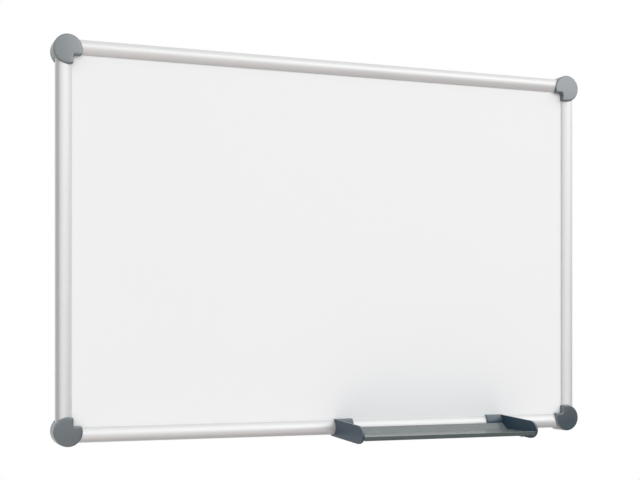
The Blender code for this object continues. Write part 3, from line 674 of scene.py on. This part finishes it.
def zinc_sheet(colours):
    """Zinc-coated sheet with its crystal spangle."""
    material, tree, shader = new_finish("zinc_sheet", {"Metallic": 0.85})
    place = own_place(tree)
    bend = add_node(tree, "ShaderNodeTexNoise", {"Vector": place, "Scale": 40.0, "Detail": 3.0})
    moved = {0: bend.outputs["Color"], "Scale": 0.02}
    shift = add_node(tree, "ShaderNodeVectorMath", moved, operation="SCALE").outputs[0]
    bent = add_node(tree, "ShaderNodeVectorMath", {0: place, 1: shift}, operation="ADD").outputs[0]
    crystals = add_node(tree, "ShaderNodeTexVoronoi", {"Vector": bent, "Scale": 75.0}).outputs
    tone = add_node(tree, "ShaderNodeSeparateColor", {0: crystals["Color"]}).outputs[0]
    colour = mottled(tree, (*colours.zinc_sheet, 1.0), tone, 0.13)
    rough = ranged(tree, tone, 0.36, 0.55)
    coat(tree, shader, colour, rough, crystals["Distance"], strength=0.08, distance=0.0002)
    return material


def core_board(colours):
    """Brown honeycomb board."""
    material, tree, shader = new_finish("core_board", {"Specular IOR Level": 0.15})
    place = own_place(tree)
    cell = {"Vector": place, "Scale": 110.0}
    edges = add_node(tree, "ShaderNodeTexVoronoi", cell, feature="DISTANCE_TO_EDGE").outputs["Distance"]
    walls = ranged(tree, edges, 0.0, 1.0, 0.0, 0.12)
    fibre = noise(tree, place, 900.0, 4.0)
    colour = mottled(tree, (*colours.core_board, 1.0), walls, 0.25)
    rough = ranged(tree, fibre, 0.80, 0.95)
    coat(tree, shader, colour, rough, fibre, strength=0.4, distance=0.0003)
    return material


BUILDERS = (
    corner_moulding,
    tray_moulding,
    shelf_moulding,
    bush_nylon,
    white_lacquer,
    drawn_aluminium,
    plated_steel,
    zinc_sheet,
    core_board,
)
FINISHES = {build.__name__: build for build in BUILDERS}


# Rails


def rail_front_curve(sizes, growth=0.0, lowest=None):
    """The rail's round front as inset and level, from its inner lip over the crown to its outer side."""
    tip = MARGIN_LEVEL + SEAT_GAP + RAIL_LIP_THICKNESS
    drop = sizes.rail_crown - tip
    reach = sizes.rail_width - RAIL_CROWN_INSET
    radius = (reach**2 + drop**2) / (2 * drop)
    centre = (RAIL_CROWN_INSET, sizes.rail_crown - radius)
    grown = radius + growth
    if lowest is None:
        start = math.acos(reach / radius)
    else:
        start = math.asin((lowest - centre[1]) / grown)
    curve = round_arc(centre, grown, math.degrees(start), 90, RAIL_ARC_STEPS)
    side_centre = (RAIL_CROWN_INSET, RAIL_SIDE_LEVEL)
    side_radii = (RAIL_CROWN_INSET + growth, sizes.rail_crown - RAIL_SIDE_LEVEL + growth)
    return curve + ellipse_arc(side_centre, side_radii, 90, 180, RAIL_ARC_STEPS)[1:]


def rail_back_curve(growth=0.0, share=1.0):
    """The rail's round outer back edge, from its outer side towards its flat back."""
    centre = (RAIL_BACK_INSET, RAIL_SIDE_LEVEL)
    radii = (RAIL_BACK_INSET + growth, RAIL_SIDE_LEVEL - RAIL_BACK_LEVEL + growth)
    return ellipse_arc(centre, radii, 180, 180 + 90 * share, RAIL_ARC_STEPS // 2)


def rail_outline(sizes):
    groove_front = MARGIN_LEVEL + SEAT_GAP
    groove_back = PANEL_BACK_LEVEL - SEAT_GAP
    groove = [
        (GROOVE_INSET, RAIL_BACK_LEVEL),
        (GROOVE_INSET, groove_back - RAIL_WALL),
        (RAIL_REAR_LIP_INSET, groove_back - RAIL_WALL),
        (RAIL_REAR_LIP_INSET, groove_back),
        (GROOVE_INSET, groove_back),
        (GROOVE_INSET, groove_front),
        (sizes.rail_width, groove_front),
    ]
    return rail_front_curve(sizes) + rail_back_curve()[1:] + groove


def rail_chamber(sizes):
    """The hollow of the rail, one wall in from its outside."""
    ceiling = MARGIN_LEVEL + SEAT_GAP + RAIL_WALL
    floor = RAIL_BACK_LEVEL + RAIL_WALL
    side = GROOVE_INSET - RAIL_WALL
    front = rail_front_curve(sizes, -RAIL_WALL, ceiling)
    return front + rail_back_curve(-RAIL_WALL)[1:] + [(side, floor), (side, ceiling)]


def rail_mesh(sizes, name, length):
    loops = [rail_outline(sizes), rail_chamber(sizes)]
    return smooth(prism(name, loops, rail_along_x, -length / 2, length / 2))


class WHITEBOARD_OT_rails(bpy.types.Operator):
    """Builds the four drawn rails"""

    bl_idname = "whiteboard.rails"
    bl_label = "Rails"

    def execute(self, context):
        sizes = context.scene.whiteboard_sizes
        across = rail_mesh(sizes, "seen_rail_across", node_size("rail_top", 0))
        upright = rail_mesh(sizes, "seen_rail_upright", node_size("rail_left", 2))
        places = {
            "bottom": (across, (0, 0, -FRAME_HEIGHT / 2), 0),
            "top": (across, (0, 0, FRAME_HEIGHT / 2), 180),
            "left": (upright, (-FRAME_WIDTH / 2, 0, 0), 90),
            "right": (upright, (FRAME_WIDTH / 2, 0, 0), -90),
        }
        for name, (mesh, location, turn) in places.items():
            look = ("drawn_aluminium", "anodised_aluminium", "board")
            piece = add_piece(f"seen_rail_{name}", f"rail_{name}", mesh, *look, location, turn)
            round_edges(piece, RAIL_EDGE_RADIUS)
        return {"FINISHED"}


# Panel


class WHITEBOARD_OT_panel(bpy.types.Operator):
    """Finishes the writing face, the core and the back sheet"""

    bl_idname = "whiteboard.panel"
    bl_label = "Panel"

    def execute(self, context):
        dress_node("writing_surface", "white_lacquer")
        dress_node("panel_core", "core_board")
        dress_node("back_sheet", "zinc_sheet")
        return {"FINISHED"}


# Corners


def corner_inset(sizes):
    """How far the centre of a round corner lies in from the frame's outer edges."""
    return sizes.drum_radius - DRUM_OVERHANG


def cover_rim(sizes, inset, growth=0.0):
    """The cover's outline about the drum's centre, drawn in by an inset: notch, arms, round side."""
    edge = sizes.rail_width + SEAT_GAP + COVER_WALL - corner_inset(sizes)
    radius = sizes.drum_radius + growth
    notch = edge + NOTCH_CORNER_RADIUS
    across = edge - ARM_CORNER_RADIUS
    up = math.sqrt((radius - ARM_CORNER_RADIUS) ** 2 - across**2)
    lean = math.degrees(math.atan2(up, across))
    half = round_arc((notch, notch), NOTCH_CORNER_RADIUS + inset, 225, 180, NOTCH_CORNER_STEPS // 2)
    half += round_arc((across, up), ARM_CORNER_RADIUS - inset, 0, lean, CORNER_ARC_STEPS)
    half += round_arc((0, 0), radius - inset, lean, 225, DRUM_ARC_STEPS // 2)[1:]
    return half + [(z, x) for x, z in half[-2:0:-1]]


def cover_rings(sizes):
    """Rings of the cover's outside from its back to its front, with their level and rim value."""
    edge_level = sizes.drum_front - sizes.drum_edge
    back = COVER_BACK_LEVEL
    rings = [
        (cover_rim(sizes, COVER_BACK_EDGE, DRUM_DRAFT), back, 0.0),
        (cover_rim(sizes, 0.0, DRUM_DRAFT), back + COVER_BACK_EDGE, 0.0),
    ]
    for step in range(COVER_EDGE_STEPS + 1):
        angle = math.radians(90 * step / COVER_EDGE_STEPS)
        outline = cover_rim(sizes, sizes.drum_edge * (1 - math.cos(angle)))
        rings.append((outline, edge_level + sizes.drum_edge * math.sin(angle), math.sin(2 * angle)))
    return rings


def cover_solid(sizes):
    """The outside of the cover as one closed body, with a slightly domed front."""
    shape = bmesh.new()
    rim = shape.verts.layers.float.new("rim")
    rows = []
    for outline, level, value in cover_rings(sizes):
        row = [shape.verts.new(facing_wall(x, z, level)) for x, z in outline]
        for vertex in row:
            vertex[rim] = value
        rows.append(row)
    for low, high in zip(rows, rows[1:]):
        count = len(low)
        for index in range(count):
            after = (index + 1) % count
            shape.faces.new((low[index], low[after], high[after], high[index]))
    shape.faces.new(rows[0])
    front = shape.faces.new(rows[-1])
    grid_front(shape, front, sizes.drum_radius)
    edge_level = sizes.drum_front - sizes.drum_edge
    for vertex in shape.verts:
        lift = max(0.0, min(1.0, (-vertex.co.y - edge_level) / sizes.drum_edge))
        away = min(1.0, math.hypot(vertex.co.x, vertex.co.z) / sizes.drum_radius)
        vertex.co.y -= COVER_DOME_RISE * (1 - away**2) * lift
    return closed_mesh("cover_outside", shape)


def grid_front(shape, face, reach):
    """Cuts a flat face into a grid so that it can be domed."""
    steps = math.ceil(reach / COVER_GRID_STEP)
    for axis in ((1, 0, 0), (0, 0, 1)):
        for step in range(-steps, steps + 1):
            flat = {item for item in shape.faces if item.normal.y < -COVER_FRONT_FACING or item is face}
            edges = {edge for item in flat for edge in item.edges}
            corners = {vertex for item in flat for vertex in item.verts}
            bmesh.ops.bisect_plane(
                shape,
                geom=list(flat) + list(edges) + list(corners),
                plane_co=Vector(axis) * (step * COVER_GRID_STEP),
                plane_no=axis,
            )


def rail_passage(sizes, name, place):
    """What the cover leaves open for a rail, straight back from the rail's round front."""
    centre = corner_inset(sizes)
    curve = rail_front_curve(sizes, SEAT_GAP)
    sill = COVER_BACK_LEVEL - CUT_OVERRUN
    inner = sizes.rail_width + SEAT_GAP
    outline = [(inner, sill), (inner, curve[0][1])] + curve + [(-SEAT_GAP, sill)]
    shifted = [(inset - centre, level) for inset, level in outline]
    return prism(name, [shifted], place, 0, sizes.drum_radius + CUT_OVERRUN)


def cover_mesh(sizes):
    """The push-on cover about the drum's centre on the wall, with its hollow, passages and pins."""
    back = COVER_BACK_LEVEL - CUT_OVERRUN
    inside = sizes.drum_front - COVER_WALL
    near = sizes.rail_width - corner_inset(sizes)
    far = sizes.drum_radius + CUT_OVERRUN
    panel = rectangle(near, far, near, far)
    cutters = [
        prism("hollow", [cover_rim(sizes, COVER_WALL)], facing_wall, back, inside),
        rail_passage(sizes, "passage_x", rail_along_x),
        rail_passage(sizes, "passage_z", rail_along_z),
        prism("panel_passage", [panel], facing_wall, back, PANEL_FRONT_LEVEL + SEAT_GAP),
    ]
    shell = combined(cover_solid(sizes), cutters, "DIFFERENCE")
    pins = [cover_pin(place, inside) for place in pin_places()]
    return smooth(combined(shell, pins, "UNION"))


def pin_places():
    return (
        (PIN_CORNER_SHIFT, -PIN_SIDE_REACH),
        (-PIN_SIDE_REACH, PIN_CORNER_SHIFT),
        (PIN_CORNER_SHIFT, PIN_CORNER_SHIFT),
    )


def cover_pin(place, inside):
    """A pin with a chamfered tip, rooted in the cover's front wall."""
    tip = inside - PIN_LENGTH
    root = inside + COVER_WALL / 2
    profile = [(0, tip), (PIN_RADIUS - PIN_TIP, tip), (PIN_RADIUS, tip + PIN_TIP)]
    mesh = turned("pin", profile + [(PIN_RADIUS, root), (0, root)], PIN_STEPS)
    for vertex in mesh.vertices:
        vertex.co.x += place[0]
        vertex.co.z += place[1]
    return mesh


class WHITEBOARD_OT_corner_covers(bpy.types.Operator):
    """Builds the four push-on corner covers"""

    bl_idname = "whiteboard.corner_covers"
    bl_label = "Corner covers"

    def execute(self, context):
        sizes = context.scene.whiteboard_sizes
        mesh = cover_mesh(sizes)
        inset = corner_inset(sizes)
        for name, (side_x, side_z, turn) in CORNERS.items():
            location = (side_x * (FRAME_WIDTH / 2 - inset), 0, side_z * (FRAME_HEIGHT / 2 - inset))
            look = ("corner_moulding", "corner_plastic", f"cover_{name}")
            add_piece(f"seen_cover_{name}", f"corner_cover_{name}", mesh, *look, location, turn)
        return {"FINISHED"}


class WHITEBOARD_OT_corner_bases(bpy.types.Operator):
    """Builds the corner bases and the bushes for the wall screws"""

    bl_idname = "whiteboard.corner_bases"
    bl_label = "Corner bases and bushes"

    def execute(self, context):
        for name in CORNERS:
            smoothed_node(f"corner_base_{name}", "corner_moulding", "corner_plastic", "board")
            smoothed_node(f"wall_bush_{name}", "bush_nylon", "nylon", f"bush_{name}")
        return {"FINISHED"}


# Screws


def threaded_shank(radius, length):
    """Half a section of a screw's shank, with thread crests along it."""
    points = []
    count = max(2, round((length - 2 * radius) / THREAD_PITCH))
    root = radius * (1 - THREAD_DEPTH_SHARE)
    for turn in range(count):
        start = radius + turn * THREAD_PITCH
        points += [(root, start), (radius, start + THREAD_PITCH / 2)]
    end = [(root, radius + count * THREAD_PITCH), (root * SCREW_TIP_SHARE, length), (0, length)]
    return points + end


def screw_mesh(name, radius, length, head_radius, head_height):
    """A pan-head screw with a cross recess that points out from the wall, its origin under the head."""
    head = [(head_radius * share, -head_height * up) for share, up in SCREW_HEAD_SHARES]
    profile = [(0, -head_height)] + head[::-1] + threaded_shank(radius, length)
    body = turned(name, profile, SCREW_STEPS)
    half_length = head_radius * RECESS_LENGTH_SHARE
    half_width = head_radius * RECESS_WIDTH_SHARE / 2
    depth = head_height * RECESS_DEPTH_SHARE
    above, floor = -head_height - CUT_OVERRUN, depth - head_height
    slots = []
    for across, up in ((half_length, half_width), (half_width, half_length)):
        slots.append(prism("slot", [rectangle(-across, across, -up, up)], facing_wall, above, floor))
    return smooth(combined(body, slots, "DIFFERENCE"))


class WHITEBOARD_OT_screws(bpy.types.Operator):
    """Builds the frame screws and the tray screws"""

    bl_idname = "whiteboard.screws"
    bl_label = "Screws"

    def execute(self, context):
        head = (FRAME_SCREW_HEAD_RADIUS, FRAME_SCREW_HEAD_HEIGHT)
        mesh = screw_mesh("seen_frame_screw", FRAME_SCREW_RADIUS, FRAME_SCREW_LENGTH, *head)
        for corner, (_, _, turn) in CORNERS.items():
            for rail in ("across", "upright"):
                name = f"frame_screw_{rail}_{corner}"
                low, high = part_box(name)
                under_head = high[1] - FRAME_SCREW_HEAD_HEIGHT
                location = ((low[0] + high[0]) / 2, under_head, (low[2] + high[2]) / 2)
                look = ("plated_steel", "zinc_plated_steel", "board")
                add_piece(f"seen_{name}", name, mesh, *look, location, turn)
        self.add_tray_screws()
        return {"FINISHED"}

    def add_tray_screws(self):
        head = (TRAY_SCREW_HEAD_RADIUS, TRAY_SCREW_HEAD_HEIGHT)
        mesh = screw_mesh("seen_tray_screw", TRAY_SCREW_RADIUS, TRAY_SCREW_LENGTH, *head)
        for side in SIDES:
            for row in SCREW_ROWS:
                name = f"tray_screw_{side}_{row}"
                low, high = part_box(name)
                under_head = low[2] + TRAY_SCREW_HEAD_HEIGHT
                location = ((low[0] + high[0]) / 2, (low[1] + high[1]) / 2, under_head)
                look = ("plated_steel", "zinc_plated_steel", "tray")
                piece = add_piece(f"seen_{name}", name, mesh, *look, location)
                piece.rotation_euler = (-math.pi / 2, 0, 0)


# Pen tray


def clip_curves(sizes):
    """The clip's inside and outside, from the hook at the writing face round the rail to its end."""
    inside = (SLIDE_GAP, sizes.rail_width + SLIDE_GAP)
    outside = (SLIDE_GAP + CLIP_THICKNESS, CLIP_HOOK_INSET)
    curves = []
    for growth, top in (inside, outside):
        hook_level = PANEL_FRONT_LEVEL + SLIDE_GAP
        front = rail_front_curve(sizes, growth)
        hook = [(top, hook_level), (top, front[0][1])]
        curves.append(hook + front[1:] + rail_back_curve(growth, CLIP_BACK_SHARE)[1:])
    return curves


def clip_outline(sizes):
    inside, outside = clip_curves(sizes)
    return [(level, inset) for inset, level in outside + inside[::-1]]


def cheek_outline(sizes):
    """The cheek's side: rail seat at the back, sloping top, round shoulder, and a nose that dips."""
    inside, outside = clip_curves(sizes)
    seat = [(level, inset) for inset, level in inside[::-1]]
    top_start = (outside[0][1], outside[0][0])
    nose_centre = (sizes.tray_reach - CHEEK_NOSE_DEPTH, CHEEK_NOSE_HEIGHT)
    shoulder_radii = (CHEEK_NOSE_DEPTH, CHEEK_SHOULDER_HEIGHT - CHEEK_NOSE_HEIGHT)
    nose_radii = (CHEEK_NOSE_DEPTH, CHEEK_NOSE_HEIGHT + CHEEK_NOSE_DROP)
    shoulder = ellipse_arc(nose_centre, shoulder_radii, 90, 0, CHEEK_ARC_STEPS)
    nose = ellipse_arc(nose_centre, nose_radii, 0, -90, CHEEK_ARC_STEPS)[1:]
    back_hook = [(level, inset) for inset, level in outside[-RAIL_ARC_STEPS // 2 :]]
    return seat + [top_start] + shoulder + nose + back_hook


def shelf_levels(sizes):
    """Rear edge, end of the rear slope, start of the lip slope and outer lip of the shelf."""
    rear = sizes.rail_crown + SLIDE_GAP + CLIP_THICKNESS + SEAT_GAP
    front = sizes.tray_reach - SHELF_LIP_SETBACK
    lip_inside = front - SHELF_LIP_WIDTH
    return rear, rear + SHELF_REAR_SLOPE, lip_inside - SHELF_LIP_SLOPE, lip_inside, front


def rib_places(sizes):
    rear, slope_end, lip_slope, _, _ = shelf_levels(sizes)
    return [slope_end + share * (lip_slope - slope_end) for share in SHELF_RIB_SHARES]


def shelf_outline(sizes):
    """The shelf's section as level and height: rear slope, floor, raised front lip, two ribs below."""
    rear, slope_end, lip_slope, lip_inside, front = shelf_levels(sizes)
    under = SHELF_FLOOR_HEIGHT - SHELF_THICKNESS
    half_rib = SHELF_RIB_WIDTH / 2
    lip_back = front - SHELF_THICKNESS
    lip_under = SHELF_LIP_TOP_HEIGHT - SHELF_THICKNESS
    top = [
        (rear, SHELF_REAR_HEIGHT),
        (slope_end, SHELF_FLOOR_HEIGHT),
        (lip_slope, SHELF_FLOOR_HEIGHT),
        (lip_inside, SHELF_LIP_TOP_HEIGHT),
        (front, SHELF_LIP_TOP_HEIGHT),
        (front, SHELF_LIP_BOTTOM_HEIGHT),
        (lip_back, SHELF_LIP_BOTTOM_HEIGHT),
        (lip_back, lip_under),
        (lip_inside, lip_under),
        (lip_slope, under),
    ]
    ribs = []
    for place in reversed(rib_places(sizes)):
        ribs += [
            (place + half_rib, under),
            (place + half_rib, under - SHELF_RIB_DEPTH),
            (place - half_rib, under - SHELF_RIB_DEPTH),
            (place - half_rib, under),
        ]
    return top + ribs + [(slope_end, under), (rear, SHELF_REAR_HEIGHT - SHELF_THICKNESS)]


def ledge_outline(sizes):
    """The ledge under the shelf's ribs, as level and height."""
    places = rib_places(sizes)
    high = SHELF_FLOOR_HEIGHT - SHELF_THICKNESS - SHELF_RIB_DEPTH - SEAT_GAP
    return rectangle(places[0] - LEDGE_MARGIN, places[1] + LEDGE_MARGIN, high - LEDGE_THICKNESS, high)


def bracket_mesh(sizes, side):
    """A tray bracket about the tray's middle: cheek, clip round the rail and ledge under the shelf."""
    half = side * TRAY_WIDTH / 2
    cheek_inner = half - side * CHEEK_THICKNESS
    inside_cheek = half - side * CHEEK_THICKNESS / 2
    cheek = prism("cheek", [cheek_outline(sizes)], along_x, half, cheek_inner)
    clip = prism("clip", [clip_outline(sizes)], along_x, inside_cheek, half - side * CLIP_WIDTH)
    ledge_inner = cheek_inner - side * LEDGE_WIDTH
    ledge = prism("ledge", [ledge_outline(sizes)], along_x, inside_cheek, ledge_inner)
    return smooth(combined(cheek, [clip, ledge], "UNION"))


class WHITEBOARD_OT_tray(bpy.types.Operator):
    """Builds the pen tray's two brackets and its shelf"""

    bl_idname = "whiteboard.tray"
    bl_label = "Pen tray"

    def execute(self, context):
        sizes = context.scene.whiteboard_sizes
        location = (TRAY_CENTRE_X, 0, -FRAME_HEIGHT / 2)
        for name, side in zip(SIDES, (-1, 1)):
            node = f"tray_bracket_{name}"
            mesh = bracket_mesh(sizes, side)
            look = ("tray_moulding", "tray_plastic", "tray")
            piece = add_piece(f"seen_{node}", node, mesh, *look, location)
            round_edges(piece, TRAY_EDGE_RADIUS, TRAY_EDGE_SEGMENTS)
        half = TRAY_WIDTH / 2 - CHEEK_THICKNESS - SEAT_GAP
        mesh = smooth(prism("seen_shelf", [shelf_outline(sizes)], along_x, -half, half))
        look = ("shelf_moulding", "tray_shelf_plastic", "tray")
        shelf = add_piece("seen_tray_shelf", "tray_shelf", mesh, *look, location)
        round_edges(shelf, TRAY_EDGE_RADIUS, TRAY_EDGE_SEGMENTS)
        return {"FINISHED"}


# Stage

CAMERA_SENSOR = 36.0
CAMERA_CLIP = 0.01
LAMP_PLACE = (2.9, -5.0, 2.3)
LAMP_WIDTH = 4.8
LAMP_HEIGHT = 2.8
LAMP_POWER = 46.0
FLOOR_HEIGHT = -1.10
FLOOR_RADIUS = 5.0
FLOOR_CLEAR_RADIUS = 2.0
FLOOR_FADED_RADIUS = 4.75
FLOOR_SEGMENTS = 96
FLOOR_COLOUR = (0.88, 0.88, 0.88, 1.0)
FLOOR_ROUGHNESS = 0.9
ROOM_COLOUR = (0.99, 0.995, 1.0, 1.0)
ROOM_WARM_COLOUR = (1.0, 0.915, 0.88, 1.0)

# The room's light by a direction's X, Y or Z: share at the first end of a span, share at its last
# end, and the span's two ends
ROOM_LEFT = (0.15, 1.0, -1.0, -0.5)
ROOM_TO_RIGHT = (0.0, 1.0, 0.2, 0.55)
ROOM_WALLS_LEFT = (0.55, 1.0, -0.15, 0.22)
ROOM_WALLS_RIGHT = (0.08, 1.0, -0.09, 0.20)
ROOM_FLOOR_LEFT = (0.77, 0.0, -0.40, -0.15)
ROOM_FLOOR_RIGHT = (0.28, 0.0, -0.50, -0.25)
ROOM_TOP = (1.0, 0.6, 0.35, 0.9)
ROOM_BOTTOM = (0.45, 1.0, -0.95, -0.50)
ROOM_BACK = (1.0, 0.95, 0.1, 0.8)

# The same for the warm tint of what is low, in front and to the left
WARM_LOW = (1.0, 0.0, -0.4, 0.2)
WARM_LEFT = (1.0, 0.0, 0.2, 0.55)
WARM_FRONT = (1.0, 0.0, -0.3, 0.3)

# The same for the share of the white backdrop that glossy rays see
BACKDROP_SEEN = (0.0, 1.0, 0.25, 0.75)


def add_camera(stage):
    camera = new_object("camera", bpy.data.cameras.new("camera"))
    camera.location = stage.camera_place
    camera.rotation_euler = (math.radians(90), 0, -stage.camera_turn)
    camera.data.sensor_fit = "HORIZONTAL"
    camera.data.sensor_width = CAMERA_SENSOR
    camera.data.lens = stage.camera_lens
    camera.data.shift_x, camera.data.shift_y = stage.camera_shift
    camera.data.clip_start = CAMERA_CLIP
    bpy.context.scene.camera = camera


def add_lamp(strength):
    """One large lamp in front, above and to the right, aimed at the middle of the board."""
    data = bpy.data.lights.new("right_lamp", "AREA")
    data.shape = "RECTANGLE"
    data.size = LAMP_WIDTH
    data.size_y = LAMP_HEIGHT
    data.energy = LAMP_POWER * strength
    lamp = new_object("right_lamp", data)
    lamp.location = LAMP_PLACE
    lamp.rotation_euler = (-Vector(LAMP_PLACE)).to_track_quat("-Z", "Y").to_euler()
    lamp.visible_camera = False


def floor_material():
    """Pale, and faded to white towards the rim."""
    plain = {"Base Color": FLOOR_COLOUR, "Roughness": FLOOR_ROUGHNESS}
    material, tree, shader = new_finish("pale_floor", plain)
    away = {0: own_place(tree)}
    distance = add_node(tree, "ShaderNodeVectorMath", away, operation="LENGTH").outputs["Value"]
    fade = ranged(tree, distance, 0.0, 1.0, FLOOR_CLEAR_RADIUS, FLOOR_FADED_RADIUS, "SMOOTHSTEP")
    white = add_node(tree, "ShaderNodeEmission", {"Color": WHITE, "Strength": 1.0}).outputs[0]
    mix = add_node(tree, "ShaderNodeMixShader", {0: fade, 1: shader.outputs[0], 2: white})
    feed(tree, tree.nodes["Material Output"], {"Surface": mix.outputs[0]})
    return material


def add_floor():
    """A round floor below the board, which lights nothing."""
    shape = bmesh.new()
    bmesh.ops.create_circle(shape, cap_ends=True, segments=FLOOR_SEGMENTS, radius=FLOOR_RADIUS)
    mesh = bpy.data.meshes.new("floor")
    shape.to_mesh(mesh)
    shape.free()
    mesh.materials.append(floor_material())
    floor = new_object("floor", mesh)
    floor.location = (0, 0, FLOOR_HEIGHT)
    floor.visible_diffuse = False
    floor.visible_glossy = False


def add_room(strength):
    """White for the camera and behind what is glossy, and a room that is dim low and to the left."""
    world = bpy.data.worlds.new("studio")
    bpy.context.scene.world = world
    world.use_nodes = True
    tree = world.node_tree
    direction = add_node(tree, "ShaderNodeTexCoord").outputs["Generated"]
    x, y, z = add_node(tree, "ShaderNodeSeparateXYZ", {0: direction}).outputs

    def share(value, span):
        return ranged(tree, value, *span, "SMOOTHSTEP")

    def times(first, second):
        return worked_out(tree, "MULTIPLY", first, second)

    def most(first, second):
        return worked_out(tree, "MAXIMUM", first, second)

    left = most(share(z, ROOM_WALLS_LEFT), share(z, ROOM_FLOOR_LEFT))
    right = most(share(z, ROOM_WALLS_RIGHT), share(z, ROOM_FLOOR_RIGHT))
    sides = {0: share(x, ROOM_TO_RIGHT), 2: left, 3: right}
    height = add_node(tree, "ShaderNodeMix", sides).outputs[0]
    height = times(height, times(share(z, ROOM_TOP), share(z, ROOM_BOTTOM)))
    level = times(times(height, share(x, ROOM_LEFT)), share(y, ROOM_BACK))
    warm = times(times(share(z, WARM_LOW), share(x, WARM_LEFT)), share(y, WARM_FRONT))
    room = tree.nodes["Background"]
    tint = mixed(tree, warm, ROOM_COLOUR, ROOM_WARM_COLOUR)
    feed(tree, room, {"Color": tint, "Strength": times(level, strength)})
    white = add_node(tree, "ShaderNodeBackground", {"Color": WHITE, "Strength": 1.0}).outputs[0]
    rays = add_node(tree, "ShaderNodeLightPath").outputs
    seen = most(rays["Is Camera Ray"], rays["Is Transmission Ray"])
    seen = most(seen, times(rays["Is Glossy Ray"], share(y, BACKDROP_SEEN)))
    mix = add_node(tree, "ShaderNodeMixShader", {0: seen, 1: room.outputs[0], 2: white})
    feed(tree, tree.nodes["World Output"], {"Surface": mix.outputs[0]})


class WHITEBOARD_OT_stage(bpy.types.Operator):
    """Sets up the camera, the lamp, the floor and the room"""

    bl_idname = "whiteboard.stage"
    bl_label = "Stage"

    def execute(self, context):
        stage = context.scene.whiteboard_stage
        add_camera(stage)
        add_floor()
        add_room(stage.room_strength)
        add_lamp(stage.key_strength)
        context.scene.view_settings.view_transform = "Standard"
        return {"FINISHED"}


OPERATORS = (
    WHITEBOARD_OT_stage,
    WHITEBOARD_OT_panel,
    WHITEBOARD_OT_rails,
    WHITEBOARD_OT_corner_covers,
    WHITEBOARD_OT_corner_bases,
    WHITEBOARD_OT_screws,
    WHITEBOARD_OT_tray,
)


class WHITEBOARD_PT_panel(bpy.types.Panel):
    """Lists the steps that build the whiteboard"""

    bl_label = "Whiteboard"
    bl_idname = "WHITEBOARD_PT_panel"
    bl_space_type = "VIEW_3D"
    bl_region_type = "UI"
    bl_category = "Whiteboard"

    def draw(self, context):
        for group in ("whiteboard_sizes", "whiteboard_finishes", "whiteboard_stage"):
            settings = getattr(context.scene, group)
            box = self.layout.box()
            for name in settings.bl_rna.properties.keys():
                if name not in ("rna_type", "name"):
                    box.prop(settings, name)
        for operator in OPERATORS:
            self.layout.operator(operator.bl_idname)


GROUP_CLASSES = {
    "whiteboard_sizes": WhiteboardSizes,
    "whiteboard_finishes": WhiteboardFinishes,
    "whiteboard_stage": WhiteboardStage,
}


def register():
    for name, group in GROUP_CLASSES.items():
        bpy.utils.register_class(group)
        setattr(bpy.types.Scene, name, bpy.props.PointerProperty(type=group))
    for operator in OPERATORS:
        bpy.utils.register_class(operator)
    bpy.utils.register_class(WHITEBOARD_PT_panel)


def unregister():
    bpy.utils.unregister_class(WHITEBOARD_PT_panel)
    for operator in reversed(OPERATORS):
        bpy.utils.unregister_class(operator)
    for name, group in GROUP_CLASSES.items():
        delattr(bpy.types.Scene, name)
        bpy.utils.unregister_class(group)


def main():
    register()
    bpy.ops.whiteboard.stage()
    bpy.ops.whiteboard.panel()
    bpy.ops.whiteboard.rails()
    bpy.ops.whiteboard.corner_covers()
    bpy.ops.whiteboard.corner_bases()
    bpy.ops.whiteboard.screws()
    bpy.ops.whiteboard.tray()


if __name__ == "__main__":
    main()
